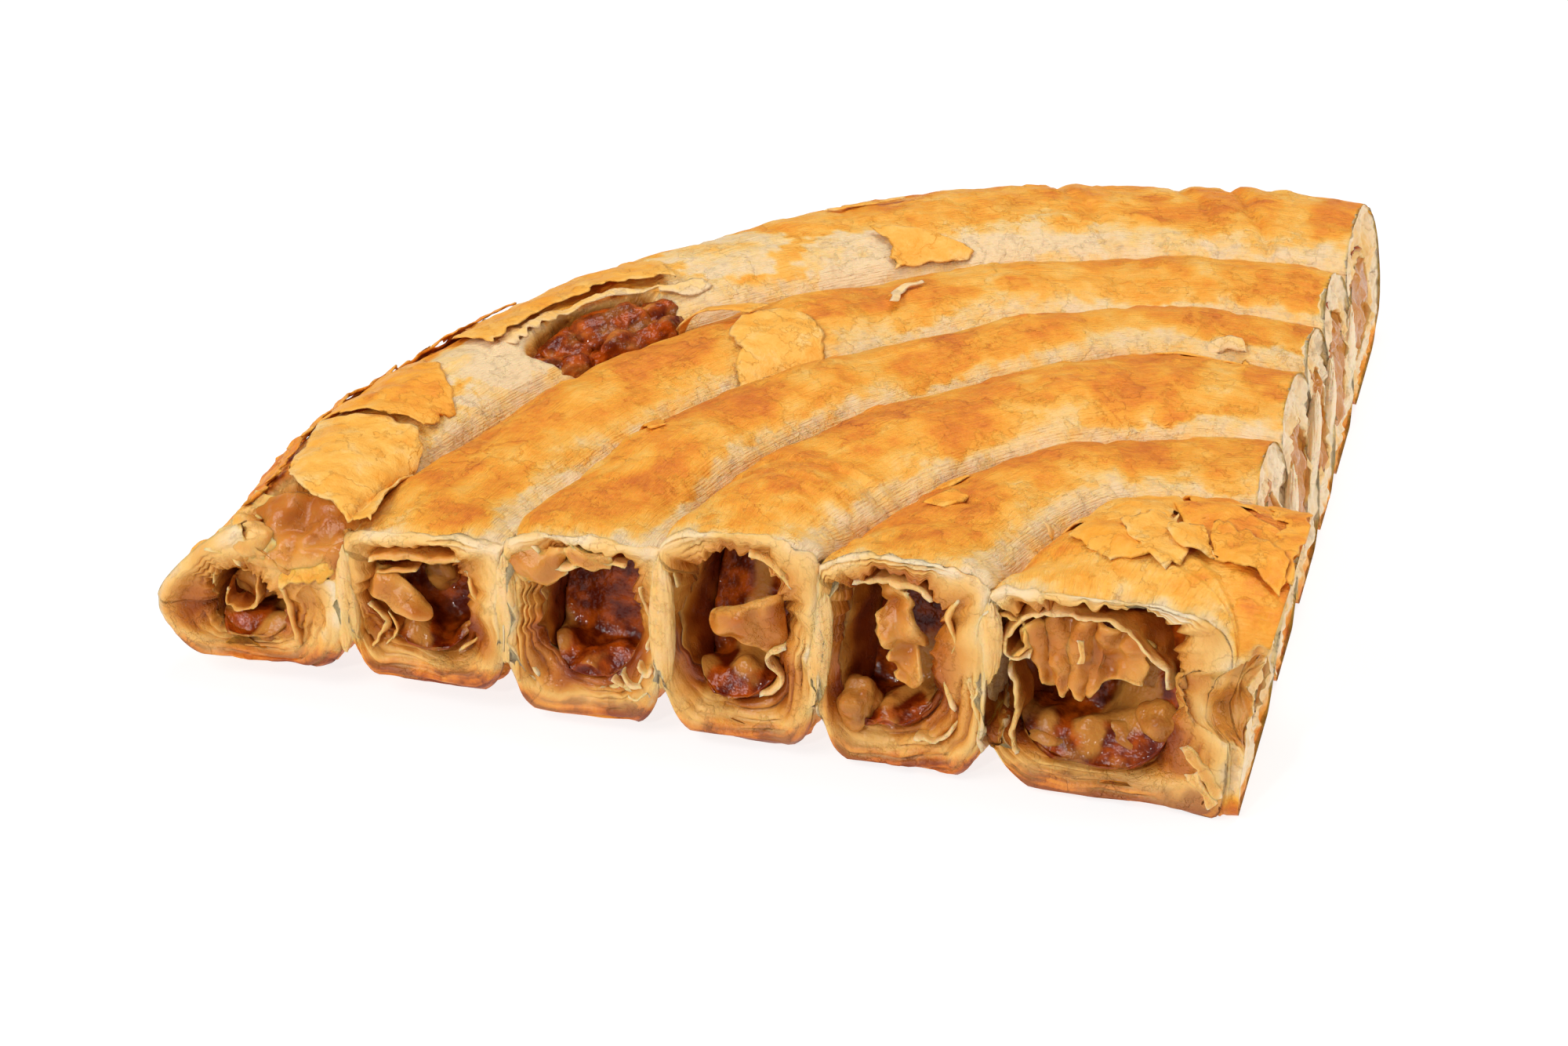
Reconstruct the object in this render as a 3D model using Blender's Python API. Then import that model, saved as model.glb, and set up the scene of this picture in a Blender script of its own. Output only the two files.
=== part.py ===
"""A quarter of a round coiled burek, cut through its centre twice.

Six turns of rolled pastry lie side by side round the coil's centre. Each turn is
a tube of dough with an apple and jam filling running through it. The first cut
faces -Y and shows a hollow in every turn, the second faces +X. Turn 1 is the
outermost. Lengths are in millimetres until place() turns them into metres.
"""
from math import asin, atan2, cos, exp, floor, hypot, pi, radians, sin

import bmesh
import bpy
from mathutils import Vector, noise

MM = 0.001
QUARTER = pi / 2

# The coil. Its centre is where the two cuts meet, at the +X, -Y corner.
TURNS = 6
CENTRE = (82.3, -83.0)
PITCH = 25.0
SEAM_GAP = 0.3
CORE_RADIUS = 0.8
OUTER_RADIUS = 162.5
STATION = 9.0

# How far each seam has moved in by the second cut, and where it bulges on the way:
# (amount, angle in degrees, spread in degrees).
SEAM_DRIFT = {1: -7.5, 2: -6.5, 3: -1.5, 4: -1.5}
SEAM_BULGE = {0: (-2.6, 46, 7), 2: (-3.0, 42, 16), 3: (4.0, 70, 9), 5: (3.5, 58, 16)}

# Heights of the crests at the first cut, in the middle and at the second cut.
CRESTS = {
    1: (29.2, 31.5, 29.6),
    2: (30.2, 32.1, 31.6),
    3: (34.3, 34.6, 33.1),
    4: (38.0, 36.1, 34.6),
    5: (37.4, 35.6, 34.6),
    6: (35.8, 38.1, 36.1),
}
# Heights of the grooves over the seams at the first cut and behind it.
GROOVES = {1: (27.2, 22.6), 2: (30.0, 25.1), 3: (33.0, 27.6), 4: (33.6, 28.1), 5: (33.6, 29.1)}
GROOVE_OPENS = radians(16)
CORE_SHOULDER = 26.5
OUTER_TIP = 7.5
TIP_HEIGHT = 12.5

# The outer turns curl up off the table at the first cut, by this much at its edge.
FRONT_LIFT = {1: 3.0, 2: 3.4, 3: 1.4, 4: 1.1}
LIFT_ENDS = 30.0

# The dough wall round the filling.
WALL = 4.5
FLOOR = 4.6
ROOF = 3.8
BORE_SHIFT = {1: 0.0, 2: 0.7, 3: -0.8, 4: 0.0, 5: 0.8, 6: 1.2}
CORE_WALL = 8.5
BORE_POWER = 2.3
FILLING_GAP = 0.6

# The filling's level in each hollow, the hollow's depth and the filling's recess.
HOLLOW_LEVEL = {1: 10.2, 2: 11.6, 3: 11.0, 4: 10.2, 5: 9.0, 6: 9.4}
HOLLOW_DEPTH = 11.0
HOLLOW_BACK = 20.0
CORE_HOLLOW_EXTRA = 4.0
FRONT_RECESS = 1.6
SIDE_RECESS = {6: 9.0}
SIDE_RECESS_USUAL = 3.4

SKIN_SIDES = 20
BORE_SIDES = 12
TORUS_SKIN = 0.45
TORUS_BORE = 0.30
FLAKE_MARGIN = 1.6
FLAKE_ROOT = 1.4
FLAKE_TEAR = 1.2


def smooth_step(low, high, value):
    """0 below low, 1 above high, and an even S between."""
    q = min(1.0, max(0.0, (value - low) / (high - low)))
    return q * q * (3 - 2 * q)


def along(values, t):
    """A value given at the first cut, in the middle and at the second cut, at angle t."""
    front, middle, side = values
    q = t / QUARTER
    return front * (1 - q) * (1 - 2 * q) + 4 * middle * q * (1 - q) + side * q * (2 * q - 1)


def seam(index, t):
    """Radius of the seam inside turn number index; 0 is the coil's outer edge."""
    if index == TURNS:
        return CORE_RADIUS
    radius = OUTER_RADIUS - PITCH * index + SEAM_DRIFT.get(index, 0) * t / QUARTER
    amount, middle, spread = SEAM_BULGE.get(index, (0, 0, 1))
    radius += amount * exp(-((t - radians(middle)) / radians(spread)) ** 2)
    if index == 0:
        radius += OUTER_TIP - 5.0 * smooth_step(0, radians(6), t)
        radius += 3.5 * smooth_step(radians(20), radians(68), t) - 3.0 * smooth_step(radians(76), QUARTER, t)
    return radius + 0.5 * sin(5 * t + 2.0 * index)


def groove(index, t):
    """Height of the bottom of the groove over a seam."""
    if index == 0:
        return TIP_HEIGHT
    if index == TURNS:
        return CORE_SHOULDER
    front, back = GROOVES[index]
    return front + (back - front) * smooth_step(0, GROOVE_OPENS, t)


def crest(turn, t):
    """Height of a turn's crest, with the slow waves of a hand-laid roll."""
    wave = 0.5 * sin(7 * t + 1.7 * turn) + 0.3 * sin(17 * t + 0.9 * turn)
    return along(CRESTS[turn], t) + wave


def crest_radius(turn, t):
    """Radius of a turn's crest; the outermost turn's sits near its inner edge."""
    inner, outer = seam(turn, t), seam(turn - 1, t)
    share = 0.40 if turn == 1 else 0.5
    if turn == TURNS:
        share = 0.56
    return inner + share * (outer - inner)


def shoulder_power(turn, outward, t):
    """Roundness of a shoulder: 2 is an ellipse, and more is squarer."""
    if turn == 1 and outward:
        return 1.3 + 0.7 * smooth_step(0, radians(14), t) + 0.9 * smooth_step(radians(20), radians(60), t)
    if turn == TURNS and not outward:
        return 3.4
    return 2.1


def underside(turn, t):
    """Height of a turn's underside: zero but for the curl at the first cut."""
    return FRONT_LIFT.get(turn, 0) * (1 - smooth_step(0, LIFT_ENDS, t * crest_radius(turn, t)))


def skin_point(turn, t, phi):
    """Radius and height on a turn's skin, at phi round its section from facing outwards."""
    outward = cos(phi) >= 0
    index = turn - 1 if outward else turn
    side = 1 if outward else -1
    edge = seam(index, t) - side * SEAM_GAP / 2
    shoulder = groove(index, t)
    if sin(phi) >= 0:
        power = shoulder_power(turn, outward, t)
        middle = crest_radius(turn, t)
        height = shoulder + (crest(turn, t) - shoulder) * abs(sin(phi)) ** (2 / power)
    else:
        power = {0: 2.4, TURNS: 12.0}.get(index, 4.6)
        middle = (seam(turn, t) + seam(turn - 1, t)) / 2
        foot = underside(turn, t)
        height = foot + (shoulder - foot) * (1 - abs(sin(phi)) ** (2 / power))
        if height < foot + 1.0:
            height = foot
    return middle + (edge - middle) * abs(cos(phi)) ** (2 / power), height


def skin_height(turn, t, radius):
    """Height of a turn's top skin at a radius."""
    middle = crest_radius(turn, t)
    outward = radius >= middle
    index = turn - 1 if outward else turn
    shoulder = groove(index, t)
    power = shoulder_power(turn, outward, t)
    share = min(1.0, abs((radius - middle) / (seam(index, t) - middle)))
    return shoulder + (crest(turn, t) - shoulder) * (1 - share**power) ** (1 / power)


def bore(turn, t):
    """Middle radius, middle height, half width and half height of a turn's bore."""
    inner, outer = seam(turn, t) + WALL, seam(turn - 1, t) - WALL
    if turn == TURNS:
        inner = CORE_WALL
        outer += 1.2
    if turn == 1:
        outer -= 5.0
    top = crest(turn, t) - ROOF
    if turn == 1:
        top -= 1.5 + 3.2 * (1 - smooth_step(0, radians(9), t))
    low = underside(turn, t) + FLOOR
    shift = BORE_SHIFT[turn] * (1 - smooth_step(0, radians(20), t))
    return (inner + outer) / 2 + shift, (low + top) / 2, (outer - inner) / 2, (top - low) / 2


def bore_point(turn, t, phi, inset=0.0):
    """Radius and height on a bore, at phi round its section from facing outwards."""
    radius, middle, wide, high = bore(turn, t)
    across = abs(cos(phi)) ** (2 / BORE_POWER) * (1 if cos(phi) > 0 else -1)
    rise = abs(sin(phi)) ** (2 / BORE_POWER) * (1 if sin(phi) > 0 else -1)
    return radius + (wide - inset) * across, middle + (high - inset) * rise


def bore_wall(turn, t, phi, inset):
    """The same on the flats between the bore's sides, whatever phi is."""
    side = 2 * pi / BORE_SIDES
    first = floor(phi / side + 0.001)
    a = Vector(bore_point(turn, t, first * side, inset))
    b = Vector(bore_point(turn, t, (first + 1) * side, inset))
    return a.lerp(b, phi / side - first)


def filling_point(turn, t, phi, level):
    """Radius and height on the filling, which lies in its bore up to a level."""
    radius, middle, wide, high = bore(turn, t)
    drop = min(0.98, max(0.0, (middle - level) / (high - FILLING_GAP)))
    start = asin(drop ** (BORE_POWER / 2))
    lift = 1 if level > middle + high else max(0.0, level - middle) / high
    if phi <= 0:
        return bore_wall(turn, t, -QUARTER + (phi + QUARTER) * (1 - start / QUARTER), FILLING_GAP)
    if drop == 0:
        wall = bore_wall(turn, t, phi, FILLING_GAP)
        return wall.x, middle + (wall.y - middle) * lift
    shore = bore_wall(turn, t, -start, FILLING_GAP), bore_wall(turn, t, start - pi, FILLING_GAP)
    return shore[1].lerp(shore[0], (1 + cos(phi)) / 2)


def cut_lean(turn, t, height):
    """How far the second cut leans: its top is drawn in, but the core's crust hangs out."""
    lean = 3.0 if turn == TURNS else -4.0
    return (1.0 + lean * (height / 30) ** 2) * smooth_step(radians(60), QUARTER, t)


def place(turn, radius, t, height):
    """A point of the coil in metres."""
    x = CENTRE[0] - radius * cos(t) + cut_lean(turn, t, height)
    y = CENTRE[1] + radius * sin(t)
    return Vector((x, y, height)) * MM


def torus_place(co):
    """Angle round the coil, angle round the section and distance from the section's middle."""
    across = hypot(co.x, co.y) - 1
    return atan2(co.y, -co.x), atan2(co.z, across), hypot(across, co.z)


def sweep(bm, steps):
    """Spin a section drawn at -X by a quarter turn round the Z axis."""
    geometry = bm.verts[:] + bm.edges[:] + bm.faces[:]
    bmesh.ops.spin(
        bm, geom=geometry, cent=(0, 0, 0), axis=(0, 0, 1), angle=-QUARTER, steps=steps, use_duplicate=False
    )


def ring(bm, radius, sides, filled):
    """A circle of the section's plane, round the torus' middle line."""
    made = bmesh.ops.create_circle(bm, cap_ends=filled, radius=radius, segments=sides)["verts"]
    for vert in made:
        vert.co = Vector((-1 - vert.co.x, 0, vert.co.y))
    return list({edge for vert in made for edge in vert.link_edges})


def finish(bm, name, material):
    """Turn a bmesh into an object with its faces pointing out."""
    bm.normal_update()
    bmesh.ops.recalc_face_normals(bm, faces=bm.faces[:])
    mesh = bpy.data.meshes.new(name)
    bm.to_mesh(mesh)
    bm.free()
    mesh.shade_smooth()
    mesh.set_sharp_from_angle(angle=radians(50))
    made = bpy.data.objects.new(name, mesh)
    made.data.materials.append(material)
    bpy.context.scene.collection.objects.link(made)
    return made


def torn(turn, t, height, span):
    """The uneven set-back of a cut face, in millimetres along the turn."""
    return span * noise.noise(Vector((turn * 3.1, t * 2.0, height * 0.35)))


def dough_turn(turn, material):
    """One turn of pastry: a quarter of a torus tube, moved to the turn's real section."""
    bm = bmesh.new()
    loops = ring(bm, TORUS_SKIN, SKIN_SIDES, False) + ring(bm, TORUS_BORE, BORE_SIDES, False)
    bmesh.ops.bridge_loops(bm, edges=loops)
    length = crest_radius(turn, 0) * QUARTER
    sweep(bm, max(9, round(length / STATION)))
    for vert in bm.verts:
        t, phi, reach = torus_place(vert.co)
        outside = reach > (TORUS_SKIN + TORUS_BORE) / 2
        radius, height = skin_point(turn, t, phi) if outside else bore_point(turn, t, phi)
        if t < 0.001 or t > QUARTER - 0.001:
            away = 1 if t < 0.001 else -1
            t += away * abs(torn(turn, phi, height, 1.6)) / max(radius, 12.0)
        vert.co = place(turn, radius, t, height)
    return finish(bm, f"dough_turn_{turn}", material)


def filling_level(turn, travel):
    """Height of the filling at a distance behind the first cut."""
    if turn == TURNS:
        travel -= CORE_HOLLOW_EXTRA
    rise = smooth_step(HOLLOW_DEPTH, HOLLOW_BACK, travel)
    return HOLLOW_LEVEL[turn] + (40.0 - HOLLOW_LEVEL[turn]) * rise


def filling(turn, material):
    """The filling of one turn, low in the hollow at the first cut and full behind it."""
    bm = bmesh.new()
    ring(bm, TORUS_BORE, BORE_SIDES, True)
    length = crest_radius(turn, 0) * QUARTER
    sweep(bm, max(8, round(length / STATION)))
    middle = crest_radius(turn, 0)
    start = FRONT_RECESS / middle
    stop = QUARTER - SIDE_RECESS.get(turn, SIDE_RECESS_USUAL) / middle
    for vert in bm.verts:
        t, phi, _ = torus_place(vert.co)
        t = start + (stop - start) * t / QUARTER
        level = filling_level(turn, t * middle)
        radius, height = filling_point(turn, t, phi, level)
        vert.co = place(turn, radius, t, height)
    return finish(bm, f"filling_{turn}", material)


def curve_point(points, q):
    """A point at share q of a smooth curve through the given points."""
    spans = len(points) - 1
    first = min(int(q * spans), spans - 1)
    f = q * spans - first
    a, b = Vector(points[max(first - 1, 0)]), Vector(points[first])
    c, d = Vector(points[first + 1]), Vector(points[min(first + 2, spans)])
    return (2 * b + (c - a) * f + (2 * a - 5 * b + 4 * c - d) * f**2 + (3 * b - a - 3 * c + d) * f**3) / 2


def fold(name, turn, path, deep, thick, start=0.8):
    """A sheet of dough in a hollow: a path in the first cut's plane, (radius, height), run back."""
    bm = bmesh.new()
    bmesh.ops.create_grid(bm, x_segments=2 * len(path) - 2, y_segments=2, size=0.5)
    for vert in bm.verts:
        q, back = vert.co.x + 0.5, vert.co.y + 0.5
        radius, height = curve_point(path, q)
        height += 0.8 * back * sin(5 * q)
        t = (start + (deep - start) * back) / crest_radius(turn, 0)
        vert.co = place(turn, radius, t, height)
    bm.normal_update()
    bmesh.ops.solidify(bm, geom=bm.faces[:], thickness=thick * MM)
    return finish(bm, name, None)


def plate(name, turn, corners, lift, cells=4):
    """A loose flake on a turn's crest: four corners as (degrees, radius), raised by lift."""
    bm = bmesh.new()
    bmesh.ops.create_grid(bm, x_segments=cells, y_segments=cells, size=0.5)
    a, b, c, d = (Vector(corner) for corner in corners)
    for vert in bm.verts:
        q, s = vert.co.x + 0.5, vert.co.y + 0.5
        angle, radius = a.lerp(b, q).lerp(d.lerp(c, q), s)
        rim = max(abs(vert.co.x), abs(vert.co.y)) > 0.45
        if rim:
            angle += FLAKE_TEAR * noise.noise(Vector((angle, radius, 0.5))) * 50 / radius
            radius += FLAKE_TEAR * noise.noise(Vector((radius, angle, 7.5)))
        t = radians(angle)
        radius = min(seam(turn - 1, t) - FLAKE_MARGIN, max(seam(turn, t) + FLAKE_MARGIN, radius))
        height = skin_height(turn, t, radius) + lift * (1.0 if rim else 0.7)
        vert.co = place(turn, radius, t, height)
    top = bm.faces[:]
    lower = bmesh.ops.extrude_face_region(bm, geom=top, use_keep_orig=True)["geom"]
    lower = [piece for piece in lower if isinstance(piece, bmesh.types.BMVert)]
    bmesh.ops.translate(bm, vec=Vector((0, 0, -lift - FLAKE_ROOT)) * MM, verts=lower)
    return finish(bm, name, None)


def lump(name, turn, radius, travel, height, size, swell=0.0, rise=1.0):
    """A piece of apple, or a burst of jam: an uneven ball at a distance behind the first cut."""
    bm = bmesh.new()
    bmesh.ops.create_icosphere(bm, subdivisions=2, radius=1.0)
    across, deep, high = size
    for vert in bm.verts:
        x, y, z = vert.co * (1 + 0.12 * noise.noise(vert.co * 1.7 + Vector((radius, travel, height))))
        z *= rise if z > 0 else 1
        t = (travel + (deep + swell) * y) / radius
        vert.co = place(turn, radius + (across + swell) * x, t, height + (high + swell) * z)
    return finish(bm, name, None)


def fuse(body, pieces, operation="UNION"):
    """Join pieces to a body, or cut them from it, by one Boolean on a collection."""
    group = bpy.data.collections.new(body.name + "_pieces")
    bpy.context.scene.collection.children.link(group)
    for piece in pieces:
        bpy.context.scene.collection.objects.unlink(piece)
        group.objects.link(piece)
        piece.data.materials.clear()
        piece.data.materials.append(body.data.materials[0])
    boolean = body.modifiers.new("join", "BOOLEAN")
    boolean.operation = operation
    boolean.operand_type = "COLLECTION"
    boolean.collection = group
    boolean.solver = "EXACT"
    boolean.use_self = True
    bpy.context.view_layer.objects.active = body
    bpy.ops.object.modifier_apply(modifier=boolean.name)
    for piece in pieces:
        bpy.data.objects.remove(piece)
    bpy.data.collections.remove(group)
    drop_scraps(body.data)


def drop_scraps(mesh):
    """Keep only the largest of a mesh's bodies."""
    bm = bmesh.new()
    bm.from_mesh(mesh)
    bodies, seen = [], set()
    for seed in bm.verts:
        if seed in seen:
            continue
        body, edge_of = {seed}, [seed]
        while edge_of:
            for edge in edge_of.pop().link_edges:
                for vert in edge.verts:
                    if vert not in body:
                        body.add(vert)
                        edge_of.append(vert)
        seen |= body
        bodies.append(body)
    bodies.sort(key=len)
    for body in bodies[:-1]:
        bmesh.ops.delete(bm, geom=list(body), context="VERTS")
    bm.to_mesh(mesh)
    bm.free()


# Sheets of dough inside the hollows: path as (radius, height), how far back, thickness.
FOLDS = {
    1: (
        ([(155, 20.5), (159.4, 18.5), (160.2, 15), (157, 12), (153.4, 14.5), (154.5, 18)], 8, 1.5),
    ),
    2: (
        ([(135.2, 23.6), (133, 21.4), (129, 21), (125.4, 19.4), (125.6, 16.4), (129, 15)], 12, 2.2),
        ([(135.6, 19), (134.2, 14.5), (132.2, 14.2), (130, 15.4)], 9, 1.6),
    ),
    3: (
        ([(110, 29), (106, 26), (103.4, 23.4), (100.4, 23)], 12, 3.0),
        ([(96, 33), (97.4, 28.4), (99, 25.6)], 10, 2.4),
    ),
    4: (
        ([(67, 29), (72, 28), (76, 25), (79.6, 22)], 13, 3.0),
        ([(66.5, 21.6), (70.2, 19.4), (71.2, 15.6), (69.6, 13.4)], 9, 1.7),
    ),
    5: (
        ([(53, 36), (53, 29), (52.4, 22.6), (50.6, 16.4)], 9, 6.4),
        ([(42, 31), (46.4, 27), (44.8, 21.6), (46.4, 15.6), (42.6, 12)], 10, 1.8),
    ),
    6: (
        ([(11, 20), (14.4, 26), (20, 30), (26, 30.4), (31, 28.4), (33.6, 25.6), (33, 22.6), (30.4, 22)], 12, 2.2),
        ([(26, 33), (26.4, 24.6), (26, 17.4)], 10, 8.0),
        ([(35.6, 17), (34, 12.4), (32.6, 9.6), (33.6, 5.4)], 12, 1.6),
    ),
}
# Loose flakes: corners as (degrees, radius) and how far they stand off the crest.
FLAKES = {
    1: (
        ([(3.8, 139.5), (9, 157), (17, 158.5), (18.3, 144)], 1.3),
        ([(24, 149), (26, 158), (38, 154), (41, 145)], 1.5),
        ([(54.5, 140), (61.5, 136.5), (60.5, 141), (55, 148)], 1.2),
        ([(62, 156), (64, 162), (73, 162), (72, 155)], 1.0),
    ),
    2: (
        ([(36.6, 115.5), (44, 114.4), (45.6, 123), (38, 125.4)], 1.5),
        ([(36, 132.4), (37.4, 124.4), (41.6, 123.6), (40.4, 131.4)], 1.9),
    ),
    3: (([(74, 102), (82, 102), (82, 95), (75, 95)], 0.9),),
    4: (([(66, 85), (80, 84), (82, 74), (68, 74)], 0.9),),
    5: (([(8, 56), (24, 57), (24, 46), (8, 46)], 0.8),),
    6: (([(38, 31), (62, 34), (68, 22), (40, 19)], 1.5), ([(64, 31), (84, 28), (86, 14), (60, 13)], 1.5)),
}
# Apple and jam that stand out of the fillings: radius, distance back, height and half sizes.
LUMPS = {
    2: ((122, 4.5, 11.4, (2.6, 2.6, 2.4)),),
    3: ((102.0, 4.6, 12.0, (2.5, 3.2, 3.2)), (96.0, 5.0, 10.8, (2.8, 3.0, 2.0))),
    4: ((75.0, 5.5, 10.4, (3.0, 3.2, 2.2)),),
    5: ((53.4, 4.4, 10.4, (2.7, 3.2, 2.8)), (48.4, 5.0, 9.4, (2.2, 3.0, 1.8))),
    6: ((17.4, 4.8, 11.4, (3.2, 3.6, 3.2)), (27.6, 4.6, 9.6, (2.4, 3.4, 2.0)), (23.4, 3.6, 9.4, (2.4, 2.6, 1.8))),
}
# Filling that has broken through the crust of turn 1: beside the first cut, and into the groove.
BURSTS = (
    (148.0, 12.0, 26.0, (7.4, 11.5, 3.6)),
    (140.9, 77.5, 25.0, (5.1, 14.5, 4.8)),
)
# What is missing from the crust round them.
TEARS = (
    (148.4, 6.0, 26.9, (9.2, 23.0, 5.4)),
    BURSTS[1],
)
TEAR_GAP = 0.5
TEAR_RISE = 2.6


def pastry(name, colour, roughness):
    """A plain material."""
    material = bpy.data.materials.new(name)
    material.use_nodes = True
    shader = material.node_tree.nodes["Principled BSDF"]
    shader.inputs["Base Color"].default_value = (*colour, 1)
    shader.inputs["Roughness"].default_value = roughness
    return material


def build():
    """The whole quarter."""
    for old in list(bpy.data.objects):
        bpy.data.objects.remove(old)
    crust = pastry("baked dough", (0.80, 0.42, 0.10), 0.55)
    jam = pastry("apple filling", (0.30, 0.09, 0.02), 0.3)
    for turn in range(1, TURNS + 1):
        dough, core = dough_turn(turn, crust), filling(turn, jam)
        pieces = [fold("fold", turn, *shape) for shape in FOLDS.get(turn, ())]
        pieces += [plate("flake", turn, *shape) for shape in FLAKES.get(turn, ())]
        if pieces:
            fuse(dough, pieces)
        lumps = [lump("lump", turn, *shape) for shape in LUMPS.get(turn, ())]
        if turn == 1:
            lumps += [lump("burst", turn, *shape) for shape in BURSTS]
            fuse(dough, [lump("tear", turn, *shape, TEAR_GAP, TEAR_RISE) for shape in TEARS], "DIFFERENCE")
        if lumps:
            fuse(core, lumps)


build()
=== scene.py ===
"""The looks of a quarter of a coiled burek: flaky golden crust, cut dough layers, apple and jam.

Lengths are in millimetres until a mesh is written. A place on the coil is a turn (1 is the
outermost), a radius from the coil's centre, an angle from the first cut, and a height.
"""

import bmesh
import bpy
import numpy as np
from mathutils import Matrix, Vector, noise
from numpy import cos, exp, pi, radians, sin


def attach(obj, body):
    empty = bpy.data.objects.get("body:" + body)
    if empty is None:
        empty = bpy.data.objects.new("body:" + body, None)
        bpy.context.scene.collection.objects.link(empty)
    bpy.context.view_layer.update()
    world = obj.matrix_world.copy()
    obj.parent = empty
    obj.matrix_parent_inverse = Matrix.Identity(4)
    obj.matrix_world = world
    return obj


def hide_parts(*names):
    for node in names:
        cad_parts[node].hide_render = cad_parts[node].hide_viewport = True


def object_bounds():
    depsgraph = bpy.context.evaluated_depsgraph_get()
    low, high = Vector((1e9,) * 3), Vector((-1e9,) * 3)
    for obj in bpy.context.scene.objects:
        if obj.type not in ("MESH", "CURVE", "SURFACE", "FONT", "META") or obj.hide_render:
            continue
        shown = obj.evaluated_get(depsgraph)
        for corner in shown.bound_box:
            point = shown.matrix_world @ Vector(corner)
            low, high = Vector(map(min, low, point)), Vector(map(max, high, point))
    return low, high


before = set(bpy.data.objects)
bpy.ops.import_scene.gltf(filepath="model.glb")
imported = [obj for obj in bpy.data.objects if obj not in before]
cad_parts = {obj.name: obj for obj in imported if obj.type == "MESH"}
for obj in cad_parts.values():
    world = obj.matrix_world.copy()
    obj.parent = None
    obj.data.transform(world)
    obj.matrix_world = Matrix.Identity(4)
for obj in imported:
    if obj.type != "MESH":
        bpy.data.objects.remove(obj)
cad_low, cad_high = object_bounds()

MM = 0.001
QUARTER = pi / 2

# The coil, as the solids have it. Its centre is the corner where the two cuts meet.
TURNS = 6
CRUST_OVERHANG = 5.34
CENTRE = (cad_high[0] / MM - CRUST_OVERHANG, cad_low[1] / MM)
PITCH = 25.0
CORE_RADIUS = 0.8
OUTER_RADIUS = 162.5
SEAM_DRIFT = {1: -7.5, 2: -6.5, 3: -1.5, 4: -1.5}
SEAM_BULGE = {0: (-2.6, 46, 7), 2: (-3.0, 42, 16), 3: (4.0, 70, 9), 5: (3.5, 58, 16)}
CRESTS = {
    1: (29.2, 31.5, 29.6),
    2: (30.2, 32.1, 31.6),
    3: (34.3, 34.6, 33.1),
    4: (38.0, 36.1, 34.6),
    5: (37.4, 35.6, 34.6),
    6: (35.8, 38.1, 36.1),
}
GROOVES = {1: (27.2, 22.6), 2: (30.0, 25.1), 3: (33.0, 27.6), 4: (33.6, 28.1), 5: (33.6, 29.1)}
GROOVE_OPENS = radians(16)
CORE_SHOULDER = 26.5
OUTER_TIP = 7.5
TIP_HEIGHT = 12.5
FRONT_LIFT = {1: 3.0, 2: 3.4, 3: 1.4, 4: 1.1}
LIFT_ENDS = 30.0
WALL = 4.5
FLOOR = 4.6
ROOF = 3.8
BORE_SHIFT = {1: 0.0, 2: 0.7, 3: -0.8, 4: 0.0, 5: 0.8, 6: 1.2}
CORE_WALL = 8.5
BORE_POWER = 2.3
# The second cut leans: how far its foot stands out, and how much further it is 30 mm up.
SIDE_LEAN_FOOT = 1.0
SIDE_LEAN = -4.0
CORE_LEAN = 3.0
LEAN_STARTS = radians(60)
# A distance along a roll becomes an angle as if its radius were at least this.
LEAST_RADIUS = 12.0
# What brings smooth noise to about -1 to 1.
NOISE_REACH = 1.6

# How the crust is divided: points round each quarter of a section, and steps along a turn.
SECTION_POINTS = (54, 54, 40, 40)
OUTER_SECTION_POINTS = (66, 54, 40, 46)
CRUST_STEP = 0.9
SEAM_OVERLAP = 0.35
# Size of a loose sheet's cells, along and across it, and how thick a flake usually is.
LEAF_CELL = (0.45, 0.5)
FLAKE_THICK = 0.35

# The mouth of each hollow at the first cut: its middle (radius, height), and how far its edge is
# from there every 30 degrees, from the side that faces outwards and over the top.
MOUTHS = {
    1: ((154.5, 12.8), (6.0, 6.6, 7.2, 6.2, 5.6, 5.5, 6.0, 6.4, 6.0, 5.6, 6.2, 6.6)),
    2: ((126.0, 18.1), (8.6, 8.5, 7.6, 8.0, 8.8, 8.0, 7.2, 8.4, 9.0, 8.6, 8.2, 8.2)),
    3: ((99.0, 19.6), (8.0, 9.0, 9.6, 11.0, 11.6, 8.4, 7.0, 8.2, 10.0, 10.6, 10.0, 8.6)),
    4: ((76.5, 20.6), (9.0, 9.0, 11.0, 13.8, 12.0, 8.6, 6.6, 7.2, 10.0, 12.0, 11.0, 9.4)),
    5: ((52.5, 20.6), (8.0, 8.6, 11.6, 13.8, 13.0, 8.6, 6.2, 7.2, 11.0, 13.0, 12.0, 9.0)),
    6: ((23.0, 19.6), (15.0, 15.0, 15.0, 14.4, 15.4, 15.4, 13.4, 14.6, 15.2, 14.0, 14.4, 15.0)),
}
MOUTH_BLEND = 13.0
HOLLOW_DEPTH = 17.0
FUNNEL = {1: 3.0, 2: 3.6, 3: 4.2, 4: 5.4, 5: 4.6, 6: 4.6}
SIDE_DEPTH = {6: 12.0}
SIDE_DEPTH_USUAL = 6.0
SIDE_MOUTH = 0.86

# Dough layers at a cut: how many in a wall, and each layer's profile as (share, setback).
LAYERS = 6
LAYER_PROFILE = ((0.06, 1.0), (0.18, 0.3), (0.38, 0.04), (0.62, 0.0), (0.84, 0.25))

# How wide the pale strip along each turn's inner groove is, and how browned its crest is.
PALE_STRIP = {1: 7.0, 2: 4.2, 3: 4.0, 4: 3.2, 5: 4.6, 6: 0.0}
CREST_BAKE = {1: 0.55, 2: 0.60, 3: 0.63, 4: 0.64, 5: 0.62, 6: 0.58}
# How much of what each hollow shows is apple; the rest is jam.
APPLE_SHARE = {1: 0.7, 2: 0.5, 3: 0.14, 4: 0.4, 5: 0.45, 6: 0.52}

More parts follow.
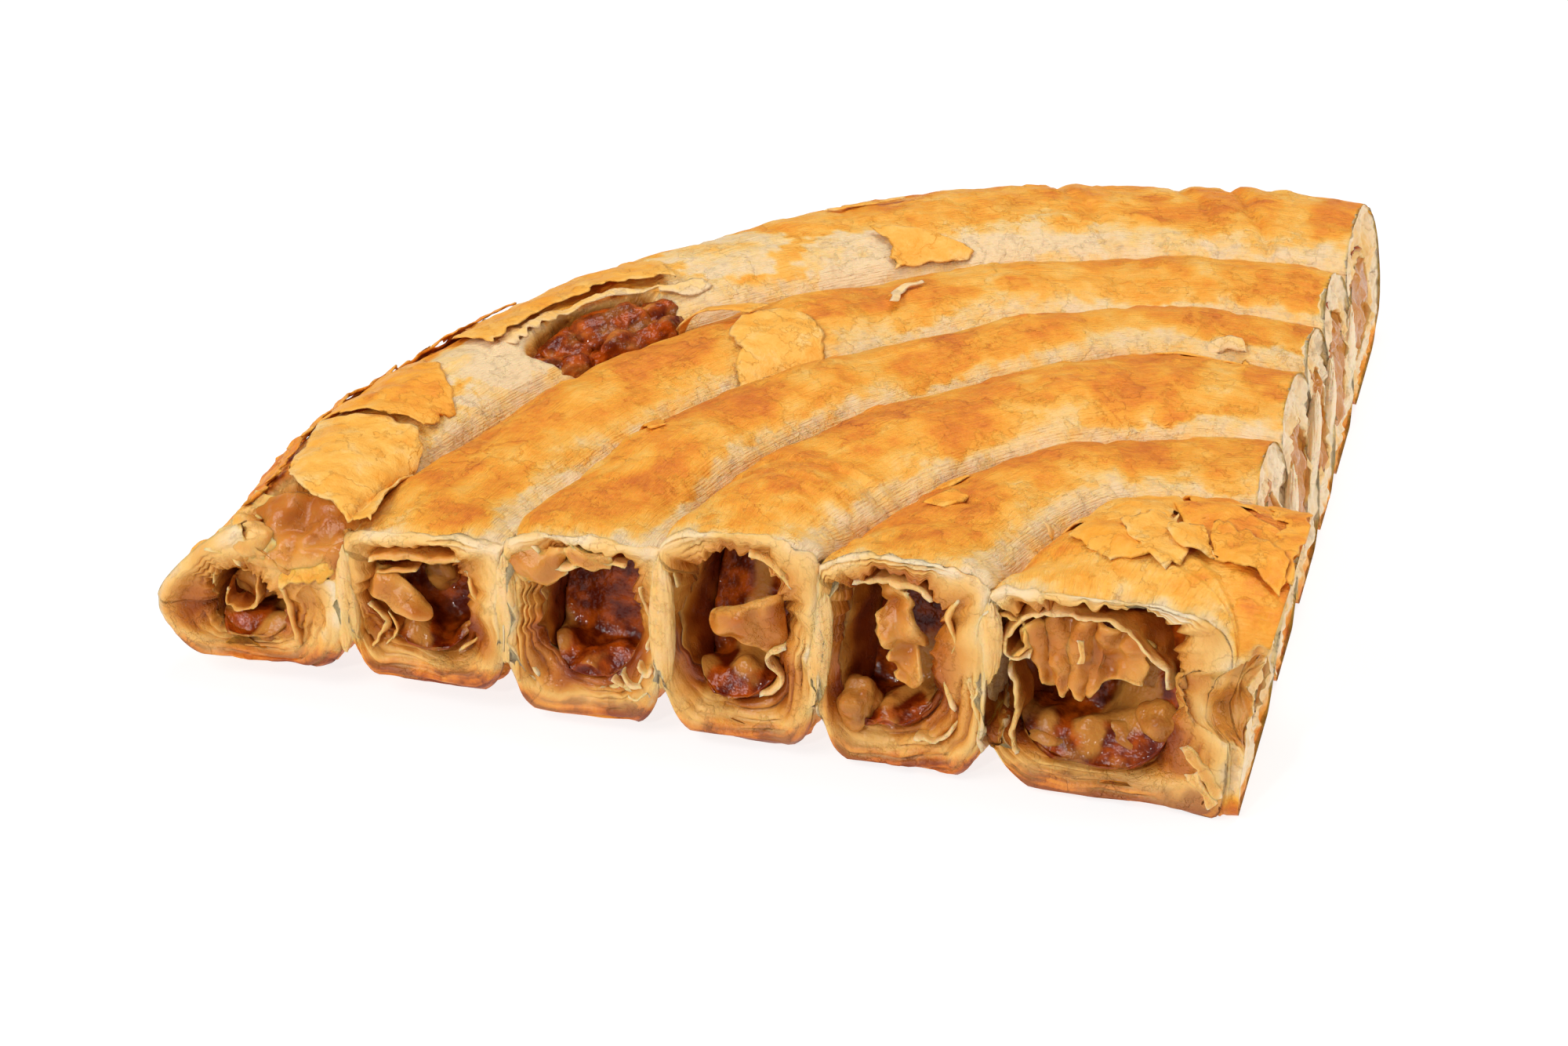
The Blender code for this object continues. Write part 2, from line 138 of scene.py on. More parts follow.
# The filling's level in each hollow, and where it starts and ends.
FILLING_LEVEL = {1: 10.2, 2: 12.6, 3: 12.4, 4: 12.0, 5: 10.8, 6: 11.0}
FILLING_RISE = (9.0, 17.0)
FRONT_RECESS = 1.6
SIDE_RECESS = {6: 9.0}
SIDE_RECESS_USUAL = 1.2

# Deeper and paler patches of the crust: (degrees, radius, half length, half width, how much).
PATCHES = {
    1: (
        (76, 148, 7, 5, 0.3), (80.5, 148, 3, 8, 0.24), (84, 147, 3, 7, 0.26), (88.5, 149, 4, 9, 0.26),
        (57.7, 155, 6, 4, 0.16), (12, 148, 7, 5, 0.12), (4, 157, 6, 4, 0.12), (24, 146, 13, 8.5, -0.42),
        (35, 139, 8, 4, -0.2), (44, 149, 11, 9, -0.4), (52, 139, 9, 7, -0.36), (66, 139, 16, 5, -0.2),
        (84, 137, 10, 4, -0.12),
    ),
    2: (
        (57.7, 117, 3, 2.2, 0.3), (61.9, 117, 3.2, 2, 0.34), (84.6, 117.5, 4, 4, 0.18),
        (48.5, 121, 9, 5, 0.16), (30, 126, 14, 5, 0.1), (14, 127, 8, 6, 0.06), (68, 116, 4, 5, -0.06),
    ),
    3: (
        (26.8, 103.6, 9, 6, 0.2), (21.3, 107, 4, 3, 0.26), (44.7, 102, 8, 4, 0.2),
        (52.4, 98.4, 4, 2.4, 0.18), (62, 103, 6, 4, 0.06), (79, 101, 9, 5, 0.08), (9, 101, 6, 7, 0.14),
    ),
    4: (
        (35, 79.5, 8, 5, 0.28), (50.5, 77, 6, 4, 0.14), (28.5, 79.6, 6, 4, 0.2), (72, 79, 10, 6, 0.24),
        (84.7, 81, 5, 4, 0.14), (13.5, 73, 4, 4, 0.26), (22, 83, 4, 3, 0.1),
    ),
    5: (
        (58.7, 58, 6, 5, 0.14), (72, 61, 5, 4, 0.12), (83, 60, 5, 4, 0.14), (31, 61, 4, 3, 0.28),
        (24.7, 55, 5, 4, 0.2), (16, 51, 5, 4, 0.24),
    ),
    6: (
        (70, 26, 9, 9, 0.5), (82, 22, 7, 10, 0.3), (78, 36, 8, 3, 0.26), (88, 30, 3, 8, 0.3),
        (50, 35, 6, 3, 0.06), (65, 25, 7, 5, 0.2), (40, 28, 7, 8, -0.1),
    ),
}


# Sheets of dough in and round each hollow: path as (radius, height), where it starts and ends
# behind the first cut, and how it differs from a plain sheet.
SHEETS = {
    1: (
        ([(160, 16), (158.6, 18.4), (155.2, 18.6), (153, 16), (153.6, 12.8), (156.6, 11.6),
         (158.4, 13.6), (157, 15.6)], 1.5, 7, dict(thick=0.5, wet_and_shade=0.25, ruffle=1.3, ragged=1.6)),
        ([(148.6, 18), (147.8, 14), (146.8, 10), (146.4, 6.4)], 0.2, 7, dict(thick=0.9, wet_and_shade=0.3)),
    ),
    2: (
        ([(134, 24.6), (130.6, 25.6), (127, 26.6), (123.4, 26.2), (119, 26.8)],
         0.4, 9, dict(thick=1, wet_and_shade=0.3)),
        ([(133, 22.4), (130, 22.6), (126.4, 23.4)], 1.6, 9, dict(thick=0.8, wet_and_shade=0.4)),
        ([(134.8, 16.8), (132.2, 13.6), (132.6, 10.4), (134.6, 8.6)],
         0.8, 6, dict(thick=0.5, ragged=1.6, ruffle=1.2, wet_and_shade=0.2)),
        ([(131.8, 14.8), (129.6, 12), (131, 8.8)], 1.4, 7, dict(thick=0.5, wet_and_shade=0.25, ragged=1.6,
         ruffle=1)),
        ([(118.8, 24), (117, 18), (117.6, 13), (119.8, 9.6)],
         1.4, 8, dict(thick=0.6, wet_and_shade=0.2, ragged=1.2)),
    ),
    3: (
        ([(109.6, 30), (108.4, 27), (108.6, 24)], 0.6, 7, dict(thick=1.6, wet_and_shade=0.2, ragged=1)),
        ([(107.6, 31), (104, 28.6), (101, 28.4), (97, 29.6)], 0.3, 9, dict(thick=0.9)),
        ([(102, 32.4), (97.4, 30.6), (92.6, 29.6)], 0, 8, dict(thick=0.6, bake=0.4, crumb=0.4)),
        ([(98, 7.4), (94.6, 8.8), (92, 8.2), (90.2, 11.4)],
         0.2, 5, dict(thick=0.6, ragged=1.2, ruffle=1.2)),
        ([(95.5, 9.5), (93.6, 8.2), (92.2, 8.8)], -0.4, 3, dict(thick=0.6, ragged=0.8)),
        ([(93.8, 11), (92, 9.6), (90.2, 10)], -0.5, 3, dict(thick=0.6, ragged=0.8)),
        ([(92.6, 7.2), (90.8, 6.6), (89.2, 8)], -0.6, 3, dict(thick=0.6, ragged=0.8)),
        ([(91.4, 12.6), (89.8, 11.4), (88.6, 12.6)], -0.3, 3, dict(thick=0.6, ragged=0.8)),
        ([(110.2, 26), (111.2, 20), (110.2, 12), (107, 8)], 0.8, 7, dict(thick=0.6, ragged=1.2)),
        ([(90.6, 27), (89.6, 21), (90, 15)], 0.8, 7, dict(thick=0.6, ragged=1.2)),
    ),
    4: (
        ([(85.4, 33), (86.2, 30), (85.6, 26.4)], 0.5, 6, dict(thick=0.5, ragged=1.2)),
        ([(68, 19), (70.8, 17.6), (71, 15.2), (69.2, 13.4), (70.4, 11.2), (72.2, 9.8)],
         1, 8, dict(thick=0.7, ruffle=1)),
        ([(74, 34.6), (70.4, 33.4), (67, 30)], 0.4, 8, dict(thick=1, wet_and_shade=0.2)),
    ),
    5: (
        ([(42, 32), (44, 28), (42.4, 23), (43.8, 17), (42, 12)],
         0.9, 9, dict(thick=1, ragged=0.6, wet_and_shade=0.2)),
        ([(58, 31.6), (54, 33), (50, 32.6), (46, 30)], 0.4, 6, dict(thick=1, ragged=1.2)),
        ([(48.4, 6), (44, 7), (41.4, 10.6)], 0.2, 6, dict(thick=0.5, ragged=1.4)),
    ),
    6: (
        ([(9.5, 20), (13.6, 26.4), (19.6, 30.6), (25.6, 31.8), (31, 30), (34.4, 26.4), (33.6, 23),
         (30.6, 22.4)], 0.9, 12, dict(thick=0.7, ruffle=1.2, ragged=1.4)),
        ([(37.6, 31), (39.4, 24), (39.2, 15), (37.4, 6)], 0, 7, dict(thick=0.9)),
        ([(34.4, 21), (33, 15), (33.8, 9), (32.4, 6)], 1, 9, dict(thick=0.7, ragged=1.2)),
        ([(38, 28), (35, 29.6), (32.4, 28), (31.6, 24.6), (33.6, 21.6)],
         1, 7, dict(thick=0.6, bake=0.55, crumb=0.3, ruffle=1, ragged=1.4)),
    ),
}
# Sheets that face the cut instead: two edges as (radius, height, distance back).
CURTAINS = {
    1: (
        ([(158, 20, 4.5), (154.4, 20.6, 2), (150, 20.4, 0.8), (146, 20.8, 0.4), (142, 22.2, 0.6),
         (138, 24.8, 1.6)], [(159, 22.6, 10), (155, 26, 11), (151, 28, 11), (146, 29.2, 11.5),
         (141, 28.8, 11), (136.4, 26.4, 10)], dict(thick=3.2, ruffle=1.3, ragged=0.2, wet_and_shade=0.3,
         depth_shade=0.12)),
        ([(161.4, 22.8, 0.4), (159.2, 24.7, 3), (157.6, 26.3, 7.5), (157, 27.6, 12)],
         [(154.6, 20.4, 0.8), (152.6, 22.6, 3.4), (151.6, 25, 6.6), (151.6, 27.6, 10.6)],
         dict(thick=0.6, ruffle=0.6, ragged=1.2, bake=0.45, crumb=0.5, wet_and_shade=0.05, depth_shade=0.1)),
        ([(149.2, 17.2, 0.2), (145.6, 18.6, -0.4), (142, 19.6, -0.2), (139.4, 21, 0.4)],
         [(148.4, 21.2, 1.4), (145, 22.2, 0.8), (141.6, 23.2, 0.8), (139.2, 24, 1.2)],
         dict(thick=0.4, ruffle=0.6, ragged=1.2, bake=0.48, crumb=0)),
    ),
    2: (
        ([(136, 22, 3.6), (132, 22.8, 2.4), (128.6, 21.6, 1.8), (125.8, 19, 2), (124.6, 17.2, 2.6)],
         [(136, 17.4, 3.2), (132, 16.8, 2), (128.6, 15.6, 1.4), (126, 15.4, 1.8), (124.6, 16.4, 2.6)],
         dict(thick=4, ruffle=1.6, ragged=0.3, wet_and_shade=0.34, depth_shade=0.3)),
    ),
    3: (
        ([(110.6, 30.5, 3.6), (107.6, 31.6, 2.2), (104.6, 32.2, 1.6), (101.6, 32, 2.2)],
         [(110, 24.4, 3.4), (107.4, 23.4, 2), (104.6, 24.6, 1.4), (102.2, 26.6, 2)],
         dict(thick=3.2, ruffle=1.8, ragged=1.2, wet_and_shade=0.3, depth_shade=0.3)),
        ([(102.4, 32.6, 0.4), (99, 33, 0.2), (95, 32, 0.6)], [(102.2, 28.6, 1.6), (98.6, 28.2, 0.6),
         (94.6, 28.6, 1.8)], dict(thick=0.9, ruffle=0.7, ragged=0.8, wet_and_shade=0.28)),
    ),
    4: (
        ([(69.4, 29, 4.4), (71.6, 27.4, 3.2), (74.4, 25.8, 2.6), (78.4, 24.2, 2.4), (80.6, 22.6, 3.2)],
         [(67.8, 14.6, 3.2), (69.6, 16.2, 2.2), (73, 17.8, 1.8), (77.4, 19, 2), (80.4, 20.4, 3.2)],
         dict(thick=4, ruffle=1.8, ragged=0.3, wet_and_shade=0.34, depth_shade=0.3)),
    ),
    5: (
        ([(57, 31.4, 5), (55.6, 25, 3), (53.4, 19.6, 2.2), (51.6, 15, 2.4)], [(49, 30.6, 4),
         (47.2, 24, 2.6), (46.4, 18, 2.4), (48.4, 13.6, 3)],
         dict(thick=1.6, ruffle=2.2, ragged=1.4, wet_and_shade=0.26, depth_shade=0.3)),
    ),
    6: (
        ([(34, 27, 4.6), (32, 29, 3.6), (30, 30, 4.8), (28, 31, 3.6), (26, 31.4, 4.8), (24, 31.4, 3.6),
         (22, 31, 4.8), (20, 30.6, 3.6), (18, 30, 5), (15.6, 28.6, 4), (13.6, 26.6, 5)],
         [(30, 18.6, 3.4), (29, 17.6, 2.4), (28, 17, 3.4), (26.8, 16.4, 2.4), (25.6, 16, 3.4),
         (24.4, 15.8, 2.4), (23.2, 16.2, 3.4), (22, 17, 2.6), (20.6, 18.4, 3.6), (18.6, 19.6, 3),
         (15.6, 19.8, 4.4)], dict(thick=0.7, ruffle=1.3, ragged=1, wet_and_shade=0.3, depth_shade=0.2)),
        ([(9, 11, 1.4), (6.5, 8.6, 0.5), (4.4, 6.4, 0.5), (2.6, 3, 1.2)], [(6.4, 12.6, 2),
         (4.2, 10.2, 0.7), (2.4, 8, 0.4), (1, 4.8, 1.2)], dict(thick=1.4, ruffle=0.8, ragged=0.8,
         wet_and_shade=0.14, depth_shade=0.1)),
        ([(7.6, 6.8, 1.2), (5.4, 4.6, 0.5), (3.6, 1.6, 0.8)], [(5, 8.6, 1.2), (3.2, 6.2, 0.5),
         (1.6, 3, 1)], dict(thick=1.4, ruffle=0.8, ragged=0.8, wet_and_shade=0.14, depth_shade=0.1)),
        ([(24.6, 27, 1.6), (24, 25, 1), (24.2, 23.4, 1)], [(23.2, 27, 2), (22.8, 25, 1.4),
         (23, 23.4, 1.4)], dict(thick=0.8, ruffle=0.3, ragged=0.4, wet_and_shade=0.1)),
    ),
}
# How much wetter than the rest some turns are at the first cut.
RIM_SOAK = {3: 0.04, 4: 0.06, 5: 0.16}
# How high the soft dough over each seam starts at the first cut.
WELT_STARTS = {1: 8.0, 2: 10.0, 3: 9.0, 4: 10.0, 5: 18.0}
# Soft swollen dough in the hollows: radius, distance back, height and half sizes.
SWOLLEN = {
    1: ((153.4, 3.2, 24.4, (3.4, 3.2, 2.7)), (150.8, 3.4, 23.2, (3, 2.8, 2.2))),
    3: ((108.8, 3.6, 27, (2.6, 3, 3.4)),),
}
# Lumps of apple in the hollows: radius, distance back, height and half sizes.
APPLES = {
    1: ((152.5, 6.6, 7.4, (5, 3.6, 2.2)), (155, 9, 14, (4.2, 3.6, 3))),
    2: ((128.4, 8.5, 9, (3.8, 3.4, 1.8)), (126, 12, 18.6, (3.6, 3, 3.6))),
    3: ((98.4, 8, 9, (4.4, 3.6, 2)),),
    4: ((75, 8.5, 9, (4.8, 3.8, 2)),),
    5: ((57.8, 4, 9.6, (3.5, 3.4, 3.9)), (51.6, 8, 7.8, (4.6, 3.4, 2.2))),
    6: (
        (13, 7.2, 11.8, (4.8, 3.8, 4.2)), (17.4, 6.6, 8, (6.4, 3.4, 3.4)),
        (29.6, 7, 6.8, (5.2, 3.4, 3)),
    ),
}
# Flakes on the top: two edges as (degrees, radius, lift), then (bake, ruffle, ragged) and, where
# it differs from a usual flake, how thick.
FLAKES = {
    1: (
        ([(4.8, 152.2, 1.4), (3, 146, 1.5), (1.9, 140, 1.6), (0.8, 136.4, 1.8), (0.4, 133.2, 1.8)],
         [(12.8, 157.6, 0.8), (13.4, 151, 0.8), (13.8, 145, 0.8), (13.6, 139.4, 1.2),
         (10, 136.4, 1.8)], (0.42, 0.35, 1.2)),
        ([(12.4, 159, 1.4), (13, 153, 1.7), (13.4, 146, 1.7), (14.2, 140, 1.6)], [(22, 159, 0.5),
         (21.4, 152, 0.3), (19.6, 145, 0.3), (17.4, 139.6, 0.3)], (0.58, 0.3, 1.2)),
        ([(3, 157.6, 0.6), (8, 160.6, 0.6), (14, 163, 0.8), (21, 163.4, 0.8), (27, 163.6, 0.8),
         (32, 163.4, 0.6)], [(3.4, 153.6, 0.8), (8.6, 157.4, 0.8), (14, 159.4, 1), (21, 159.6, 1),
         (27, 159.6, 1), (31, 160, 0.8)], (0.74, 0.5, 1.6, 0.5)),
        ([(5, 156, 1.2), (10, 159.4, 1.4), (16, 161, 1.4), (22, 161.4, 1.2)], [(5.4, 153.2, 1.2),
         (10, 156, 1.4), (16, 158, 1.4), (21, 158.6, 1.2)], (0.66, 0.5, 1.4)),
        ([(23, 161, 1.6), (28, 161.4, 1.8), (31.6, 161, 1.6)], [(23.4, 158, 1.6), (28, 158.2, 1.8),
         (31, 158.4, 1.6)], (0.7, 0.5, 1.2)),
        ([(24.6, 158, 0.6), (28, 158, 0.8), (33, 158.4, 0.8), (38, 157, 0.6), (40, 151, 0.5)],
         [(24.4, 146.2, 1.4), (27.4, 147, 1.8), (32.6, 148, 2.2), (36, 145.6, 2.2),
         (39.2, 142.6, 1.4)], (0.5, 0.35, 1.2)),
        ([(25, 150, 0.4), (29, 149, 0.6), (34, 147.6, 0.8), (38.6, 143, 0.6)], [(25.4, 144.2, 0.2),
         (29, 145.4, 0.6), (33.6, 145.4, 1), (39.2, 140.4, 0.6)], (0.22, 0.5, 1.4)),
        ([(37.8, 143.6, 1), (39.4, 142, 1), (41, 142.4, 0.6)], [(37.4, 140.6, 1.2), (39.2, 138.4, 1.2),
         (41.4, 139, 0.6)], (0.12, 0.6, 1.2)),
        ([(54.4, 144.6, 1.6), (55, 140.4, 1.2), (54.9, 137.2, 1), (54.7, 135, 1.2)],
         [(58.6, 141.2, 0.9), (60.2, 138.2, 1), (61.3, 136.2, 1.2), (60.8, 134.6, 1.4)], (0.5, 0.3, 1)),
        ([(53, 156.6, 0.1), (56, 157.4, 0.3), (59, 157.4, 0.1)], [(53.6, 154.8, 0.1), (56, 155.2, 0.2),
         (58.6, 155.8, 0.1)], (0.45, 0.3, 0.8)),
    ),
    2: (
        ([(39, 123.8, 1), (36.7, 120, 1), (35.3, 116, 1), (33.9, 111, 1), (32.8, 107.4, 2.2)],
         [(42.4, 121.4, 1), (43.5, 117.5, 1), (43.5, 112.5, 1), (42.6, 108.8, 1), (40.8, 106.2, 2.2)],
         (0.42, 0.25, 1.1)),
        ([(36.8, 134.8, 2.6), (38.3, 131.2, 2.8), (40.4, 127, 2), (41.8, 122.4, 1.5)],
         [(36.2, 133, 2.2), (37.5, 128.8, 2.4), (38.6, 125.4, 1.7), (39.2, 122.4, 1.4)],
         (0.5, 0.25, 0.5)),
        ([(50.6, 116, 1.3), (51.4, 119, 1.3), (52.8, 121, 1.3), (54.8, 121.6, 1.3)],
         [(51.4, 115.4, 1.3), (52.4, 118, 1.3), (53.4, 119.8, 1.3), (54.9, 120.6, 1.3)],
         (0.12, 0.5, 0.4)),
    ),
    3: (
        ([(18.6, 104, 0.8), (20, 107, 1), (21.4, 111, 1.2)], [(20.4, 102.6, 0.3), (22, 106, 0.3),
         (23.6, 110, 0.4)], (0.68, 0.25, 0.8)),
        ([(79, 90.4, 0.8), (81, 91, 1.2), (83.4, 90.6, 1)], [(78.6, 88.6, 0.8), (81, 88.4, 1.4),
         (83.6, 88.4, 1.2)], (0.2, 0.8, 1)),
    ),
    4: (
        ([(72, 88.6, 0.6), (78, 88.4, 0.8), (85, 88.2, 0.6)], [(73, 84.6, 0.5), (79, 83.6, 0.4),
         (85, 83.4, 0.4)], (0.56, 0.25, 1.2)),
    ),
    5: (
        ([(28, 62.6, 0.9), (31, 61.2, 1.3), (34.4, 60.8, 0.9)], [(28.8, 58, 0.1), (31.4, 56.6, 0.1),
         (34.4, 56.8, 0.1)], (0.6, 0.2, 0.6)),
        ([(22.4, 56.6, 0.9), (25, 56, 1.2), (28, 55.8, 0.9)], [(22.8, 52, 0.1), (25.4, 51, 0.1),
         (28.2, 51.4, 0.1)], (0.6, 0.2, 0.6)),
    ),
    6: (
        ([(79, 37, 0.5), (81, 29, 0.7), (80, 20, 0.6), (76, 10, 0.6)], [(90.4, 37, 0.6),
         (90.6, 29, 0.8), (90.8, 20, 0.8), (91, 9, 0.6)], (0.6, 0.4, 1.8)),
        ([(33, 40.4, 0.8), (43, 38.4, 1), (53, 39.4, 1), (64, 37.4, 0.8)], [(36, 31, 0.3),
         (46, 27.4, 0.5), (56, 29, 0.5), (66, 27, 0.4)], (0.44, 0.4, 1)),
        ([(28.6, 33, 0.5), (40, 34, 0.6), (52, 34.3, 0.9), (60, 31, 1)], [(20, 21.6, 0.4),
         (30, 17.6, 0.5), (43, 19.7, 0.7), (56, 20.4, 0.9)], (0.5, 0.4, 1)),
        ([(40, 28, 1.2), (50, 28, 1.5), (58, 27, 1.4)], [(24, 12.6, 0.7), (38, 13, 0.9),
         (54, 16.4, 1.2)], (0.4, 0.5, 1.1)),
        ([(62, 33, 0.6), (74, 29, 0.7), (85, 23, 0.6)], [(58, 17.4, 0.7), (71, 14.6, 0.8),
         (86, 11, 0.8)], (0.68, 0.5, 1.3)),
        ([(68, 24, 1.2), (77, 19, 1.3), (86, 14, 1.3)], [(61, 13, 1.2), (72, 9.6, 1.2), (84, 6, 1)],
         (0.6, 0.6, 1.1)),
        ([(66, 39.4, 0.8), (76, 37.4, 0.9), (87, 35, 0.8)], [(67, 31, 0.5), (76, 28.4, 0.6),
         (87, 26, 0.6)], (0.6, 0.5, 1)),
        ([(48, 22, 1.9), (56, 22, 2.1), (64, 21, 1.9)], [(44, 15.4, 1.6), (53, 13.6, 1.7),
         (63, 13, 1.6)], (0.45, 0.5, 1)),
    ),
}
# Jam boiled out of turn 1: degrees, radius, height, half sizes and how it is turned.
BURST = (
    (29.4, 142.6, 26.4, (6.8, 4.2, 3.4), 0), (33.4, 141.2, 27.4, (7.4, 4.6, 3.8), 6),
    (36.8, 140.2, 27.4, (4.6, 3.8, 3.4), 10), (26.4, 140.4, 26.2, (4.4, 2.8, 2.4), -4),
    (28.6, 138, 25.6, (6, 3.2, 3.2), 0), (32.4, 136.8, 26.2, (6.4, 3.2, 3.8), 4),
    (35.8, 136, 26.4, (4.6, 3, 3.6), 8),
)
# Hollows scooped out of the dough at the first cut: middle as (radius, distance back, height),
# half sizes the same way, and how wet they are.
SCOOPS = {
    1: (((146, -1.5, 33), (9.4, 14, 12.6), 0.5), ((143.4, -2.6, 14.5), (3.6, 4.6, 7.4), 0.45)),
    2: (((133.4, -1.6, 12), (3, 4.4, 5.2), 0.35),),
    6: (((36.4, -2, 16.5), (2.4, 11, 9), 0.8), ((-5.5, -4.5, 20.5), (13.4, 13, 9.6), 0.42)),
}
# Creases across a turn: degrees and depth, at the radius where the degrees become a distance.
CREASE_RADIUS = 150
CREASES = {1: ((82.8, 0.9), (71, 0.7), (79.2, 0.5)), 4: ((21, 0.6), (16, 0.4)), 5: ((27, 0.6),)}
# Where the crust has torn open and lies lower: degrees, radius, half length, half width, depth.
TEARS = ((32, 141.2, 14.6, 6.4, 4.6), (2.4, 147, 14, 9.5, 3.2))


def smooth_step(low, high, value):
    """0 below low, 1 above high, and an even S between."""
    q = np.clip((value - low) / (high - low), 0.0, 1.0)
    return q * q * (3 - 2 * q)


def along(values, t):
    """A value given at the first cut, in the middle and at the second cut, at angle t."""
    front, middle, side = values
    q = t / QUARTER
    return front * (1 - q) * (1 - 2 * q) + 4 * middle * q * (1 - q) + side * q * (2 * q - 1)


def seam(index, t):
    """Radius of the seam inside turn number index; 0 is the coil's outer edge."""
    if index == TURNS:
        return CORE_RADIUS
    radius = OUTER_RADIUS - PITCH * index + SEAM_DRIFT.get(index, 0) * t / QUARTER
    amount, middle, spread = SEAM_BULGE.get(index, (0, 0, 1))
    radius += amount * exp(-((t - radians(middle)) / radians(spread)) ** 2)
    if index == 0:
        radius += OUTER_TIP - 5.0 * smooth_step(0, radians(6), t)
        radius += 3.5 * smooth_step(radians(20), radians(68), t) - 3.0 * smooth_step(radians(76), QUARTER, t)
    return radius + 0.5 * sin(5 * t + 2.0 * index)


def groove(index, t):
    """Height of the bottom of the groove over a seam."""
    if index == 0:
        return TIP_HEIGHT
    if index == TURNS:
        return CORE_SHOULDER
    front, back = GROOVES[index]
    return front + (back - front) * smooth_step(0, GROOVE_OPENS, t)


def crest(turn, t):
    """Height of a turn's crest, with the slow waves of a hand-laid roll."""
    wave = 0.5 * sin(7 * t + 1.7 * turn) + 0.3 * sin(17 * t + 0.9 * turn)
    return along(CRESTS[turn], t) + wave


def crest_radius(turn, t):
    """Radius of a turn's crest; the outermost turn's sits near its inner edge."""
    inner, outer = seam(turn, t), seam(turn - 1, t)
    share = 0.40 if turn == 1 else 0.5
    if turn == TURNS:
        share = 0.56
    return inner + share * (outer - inner)


def shoulder_power(turn, outward, t):
    """Roundness of a shoulder: 2 is an ellipse, and more is squarer."""
    if turn == 1 and outward:
        return 1.3 + 0.7 * smooth_step(0, radians(14), t) + 0.9 * smooth_step(radians(20), radians(60), t)
    if turn == TURNS and not outward:
        return 3.4
    return 2.1


def underside(turn, t):
    """Height of a turn's underside: zero but for the curl at the first cut."""
    return FRONT_LIFT.get(turn, 0) * (1 - smooth_step(0, LIFT_ENDS, t * crest_radius(turn, t)))


def skin_outline(turn, t, phi):
    """Radius and height of a turn's skin at angle t, round its section at each phi."""
    radius, height = np.zeros_like(phi), np.zeros_like(phi)
    foot, top = underside(turn, t), crest(turn, t)
    for outward in (True, False):
        index = turn - 1 if outward else turn
        overlap = 0 if index in (0, TURNS) else SEAM_OVERLAP
        edge = seam(index, t) + (overlap if outward else -overlap)
        shoulder = groove(index, t)
        here = (np.cos(phi) >= 0) == outward
        upper, lower = here & (np.sin(phi) >= 0), here & (np.sin(phi) < 0)
        power = shoulder_power(turn, outward, t)
        middle = crest_radius(turn, t)
        radius[upper] = middle + (edge - middle) * np.abs(np.cos(phi[upper])) ** (2 / power)
        height[upper] = shoulder + (top - shoulder) * np.abs(np.sin(phi[upper])) ** (2 / power)
        power = {0: 2.4, TURNS: 12.0}.get(index, 4.6)
        middle = (seam(turn, t) + seam(turn - 1, t)) / 2
        rise = (shoulder - foot) * (1 - np.abs(np.sin(phi[lower])) ** (2 / power))
        radius[lower] = middle + (edge - middle) * np.abs(np.cos(phi[lower])) ** (2 / power)
        height[lower] = foot + np.maximum(0, rise - 1) * (shoulder - foot) / (shoulder - foot - 1)
    return radius, height


def walked(across, up):
    """How far each point of a line is from its start, along the line."""
    return np.concatenate(([0], np.cumsum(np.hypot(np.diff(across), np.diff(up)))))


def even_section(turn, t):
    """A turn's skin at angle t, at points evenly spaced along each quarter of its section."""
    radius, height = [], []
    for quarter, count in enumerate(OUTER_SECTION_POINTS if turn == 1 else SECTION_POINTS):
        phi = np.linspace(quarter + 1e-6, quarter + 1 - 1e-6, 121) * QUARTER
        across, up = skin_outline(turn, t, phi)
        gone = walked(across, up)
        even = np.linspace(0, gone[-1], count, endpoint=False)
        radius.append(np.interp(even, gone, across))
        height.append(np.interp(even, gone, up))
    return np.concatenate(radius), np.concatenate(height)


def bore(turn, t):
    """Middle radius, middle height, half width and half height of a turn's bore."""
    inner, outer = seam(turn, t) + WALL, seam(turn - 1, t) - WALL
    if turn == TURNS:
        inner = CORE_WALL
        outer += 1.2
    if turn == 1:
        outer -= 5.0
    top = crest(turn, t) - ROOF
    if turn == 1:
        top -= 1.5 + 3.2 * (1 - smooth_step(0, radians(9), t))
    low = underside(turn, t) + FLOOR
    shift = BORE_SHIFT[turn] * (1 - smooth_step(0, radians(20), t))
    return (inner + outer) / 2 + shift, (low + top) / 2, (outer - inner) / 2, (top - low) / 2


def cubic(a, b, c, d, f):
    """A smooth curve at share f of the way from b to c, between their neighbours a and d."""
    return (2 * b + (c - a) * f + (2 * a - 5 * b + 4 * c - d) * f**2 + (3 * b - a - 3 * c + d) * f**3) / 2


def round_curve(values, angle):
    """A smooth closed curve through evenly spaced values, at each angle."""
    values = np.array(values)
    place = (angle / (2 * pi) * len(values)) % len(values)
    first = np.floor(place).astype(int)
    f = place - first
    return cubic(*(values[(first + k) % len(values)] for k in (-1, 0, 1, 2)), f)


def hollow_middle(turn, travel, t):
    """The middle of a turn's hollow, as (radius, height), at a distance behind the first cut."""
    share = smooth_step(0, MOUTH_BLEND, travel)
    mouth = MOUTHS[turn][0]
    radius, height, _, _ = bore(turn, t)
    return mouth[0] + (radius - mouth[0]) * share, mouth[1] + (height - mouth[1]) * share


def oval(angle, wide, high):
    """The reach of a squarish oval of the given half sizes, in each direction."""
    across, up = np.abs(np.cos(angle) / wide), np.abs(np.sin(angle) / high)
    return (across**BORE_POWER + up**BORE_POWER) ** (-1 / BORE_POWER)


def hollow_outline(turn, travel, t, angle):
    """The wall of a turn's hollow, in each direction from its middle."""
    share = smooth_step(0, MOUTH_BLEND, travel)
    _, _, wide, high = bore(turn, t)
    reach = round_curve(MOUTHS[turn][1], angle) * (1 - share) + oval(angle, wide, high) * share
    radius, height = hollow_middle(turn, travel, t)
    return radius + reach * np.cos(angle), height + reach * np.sin(angle)


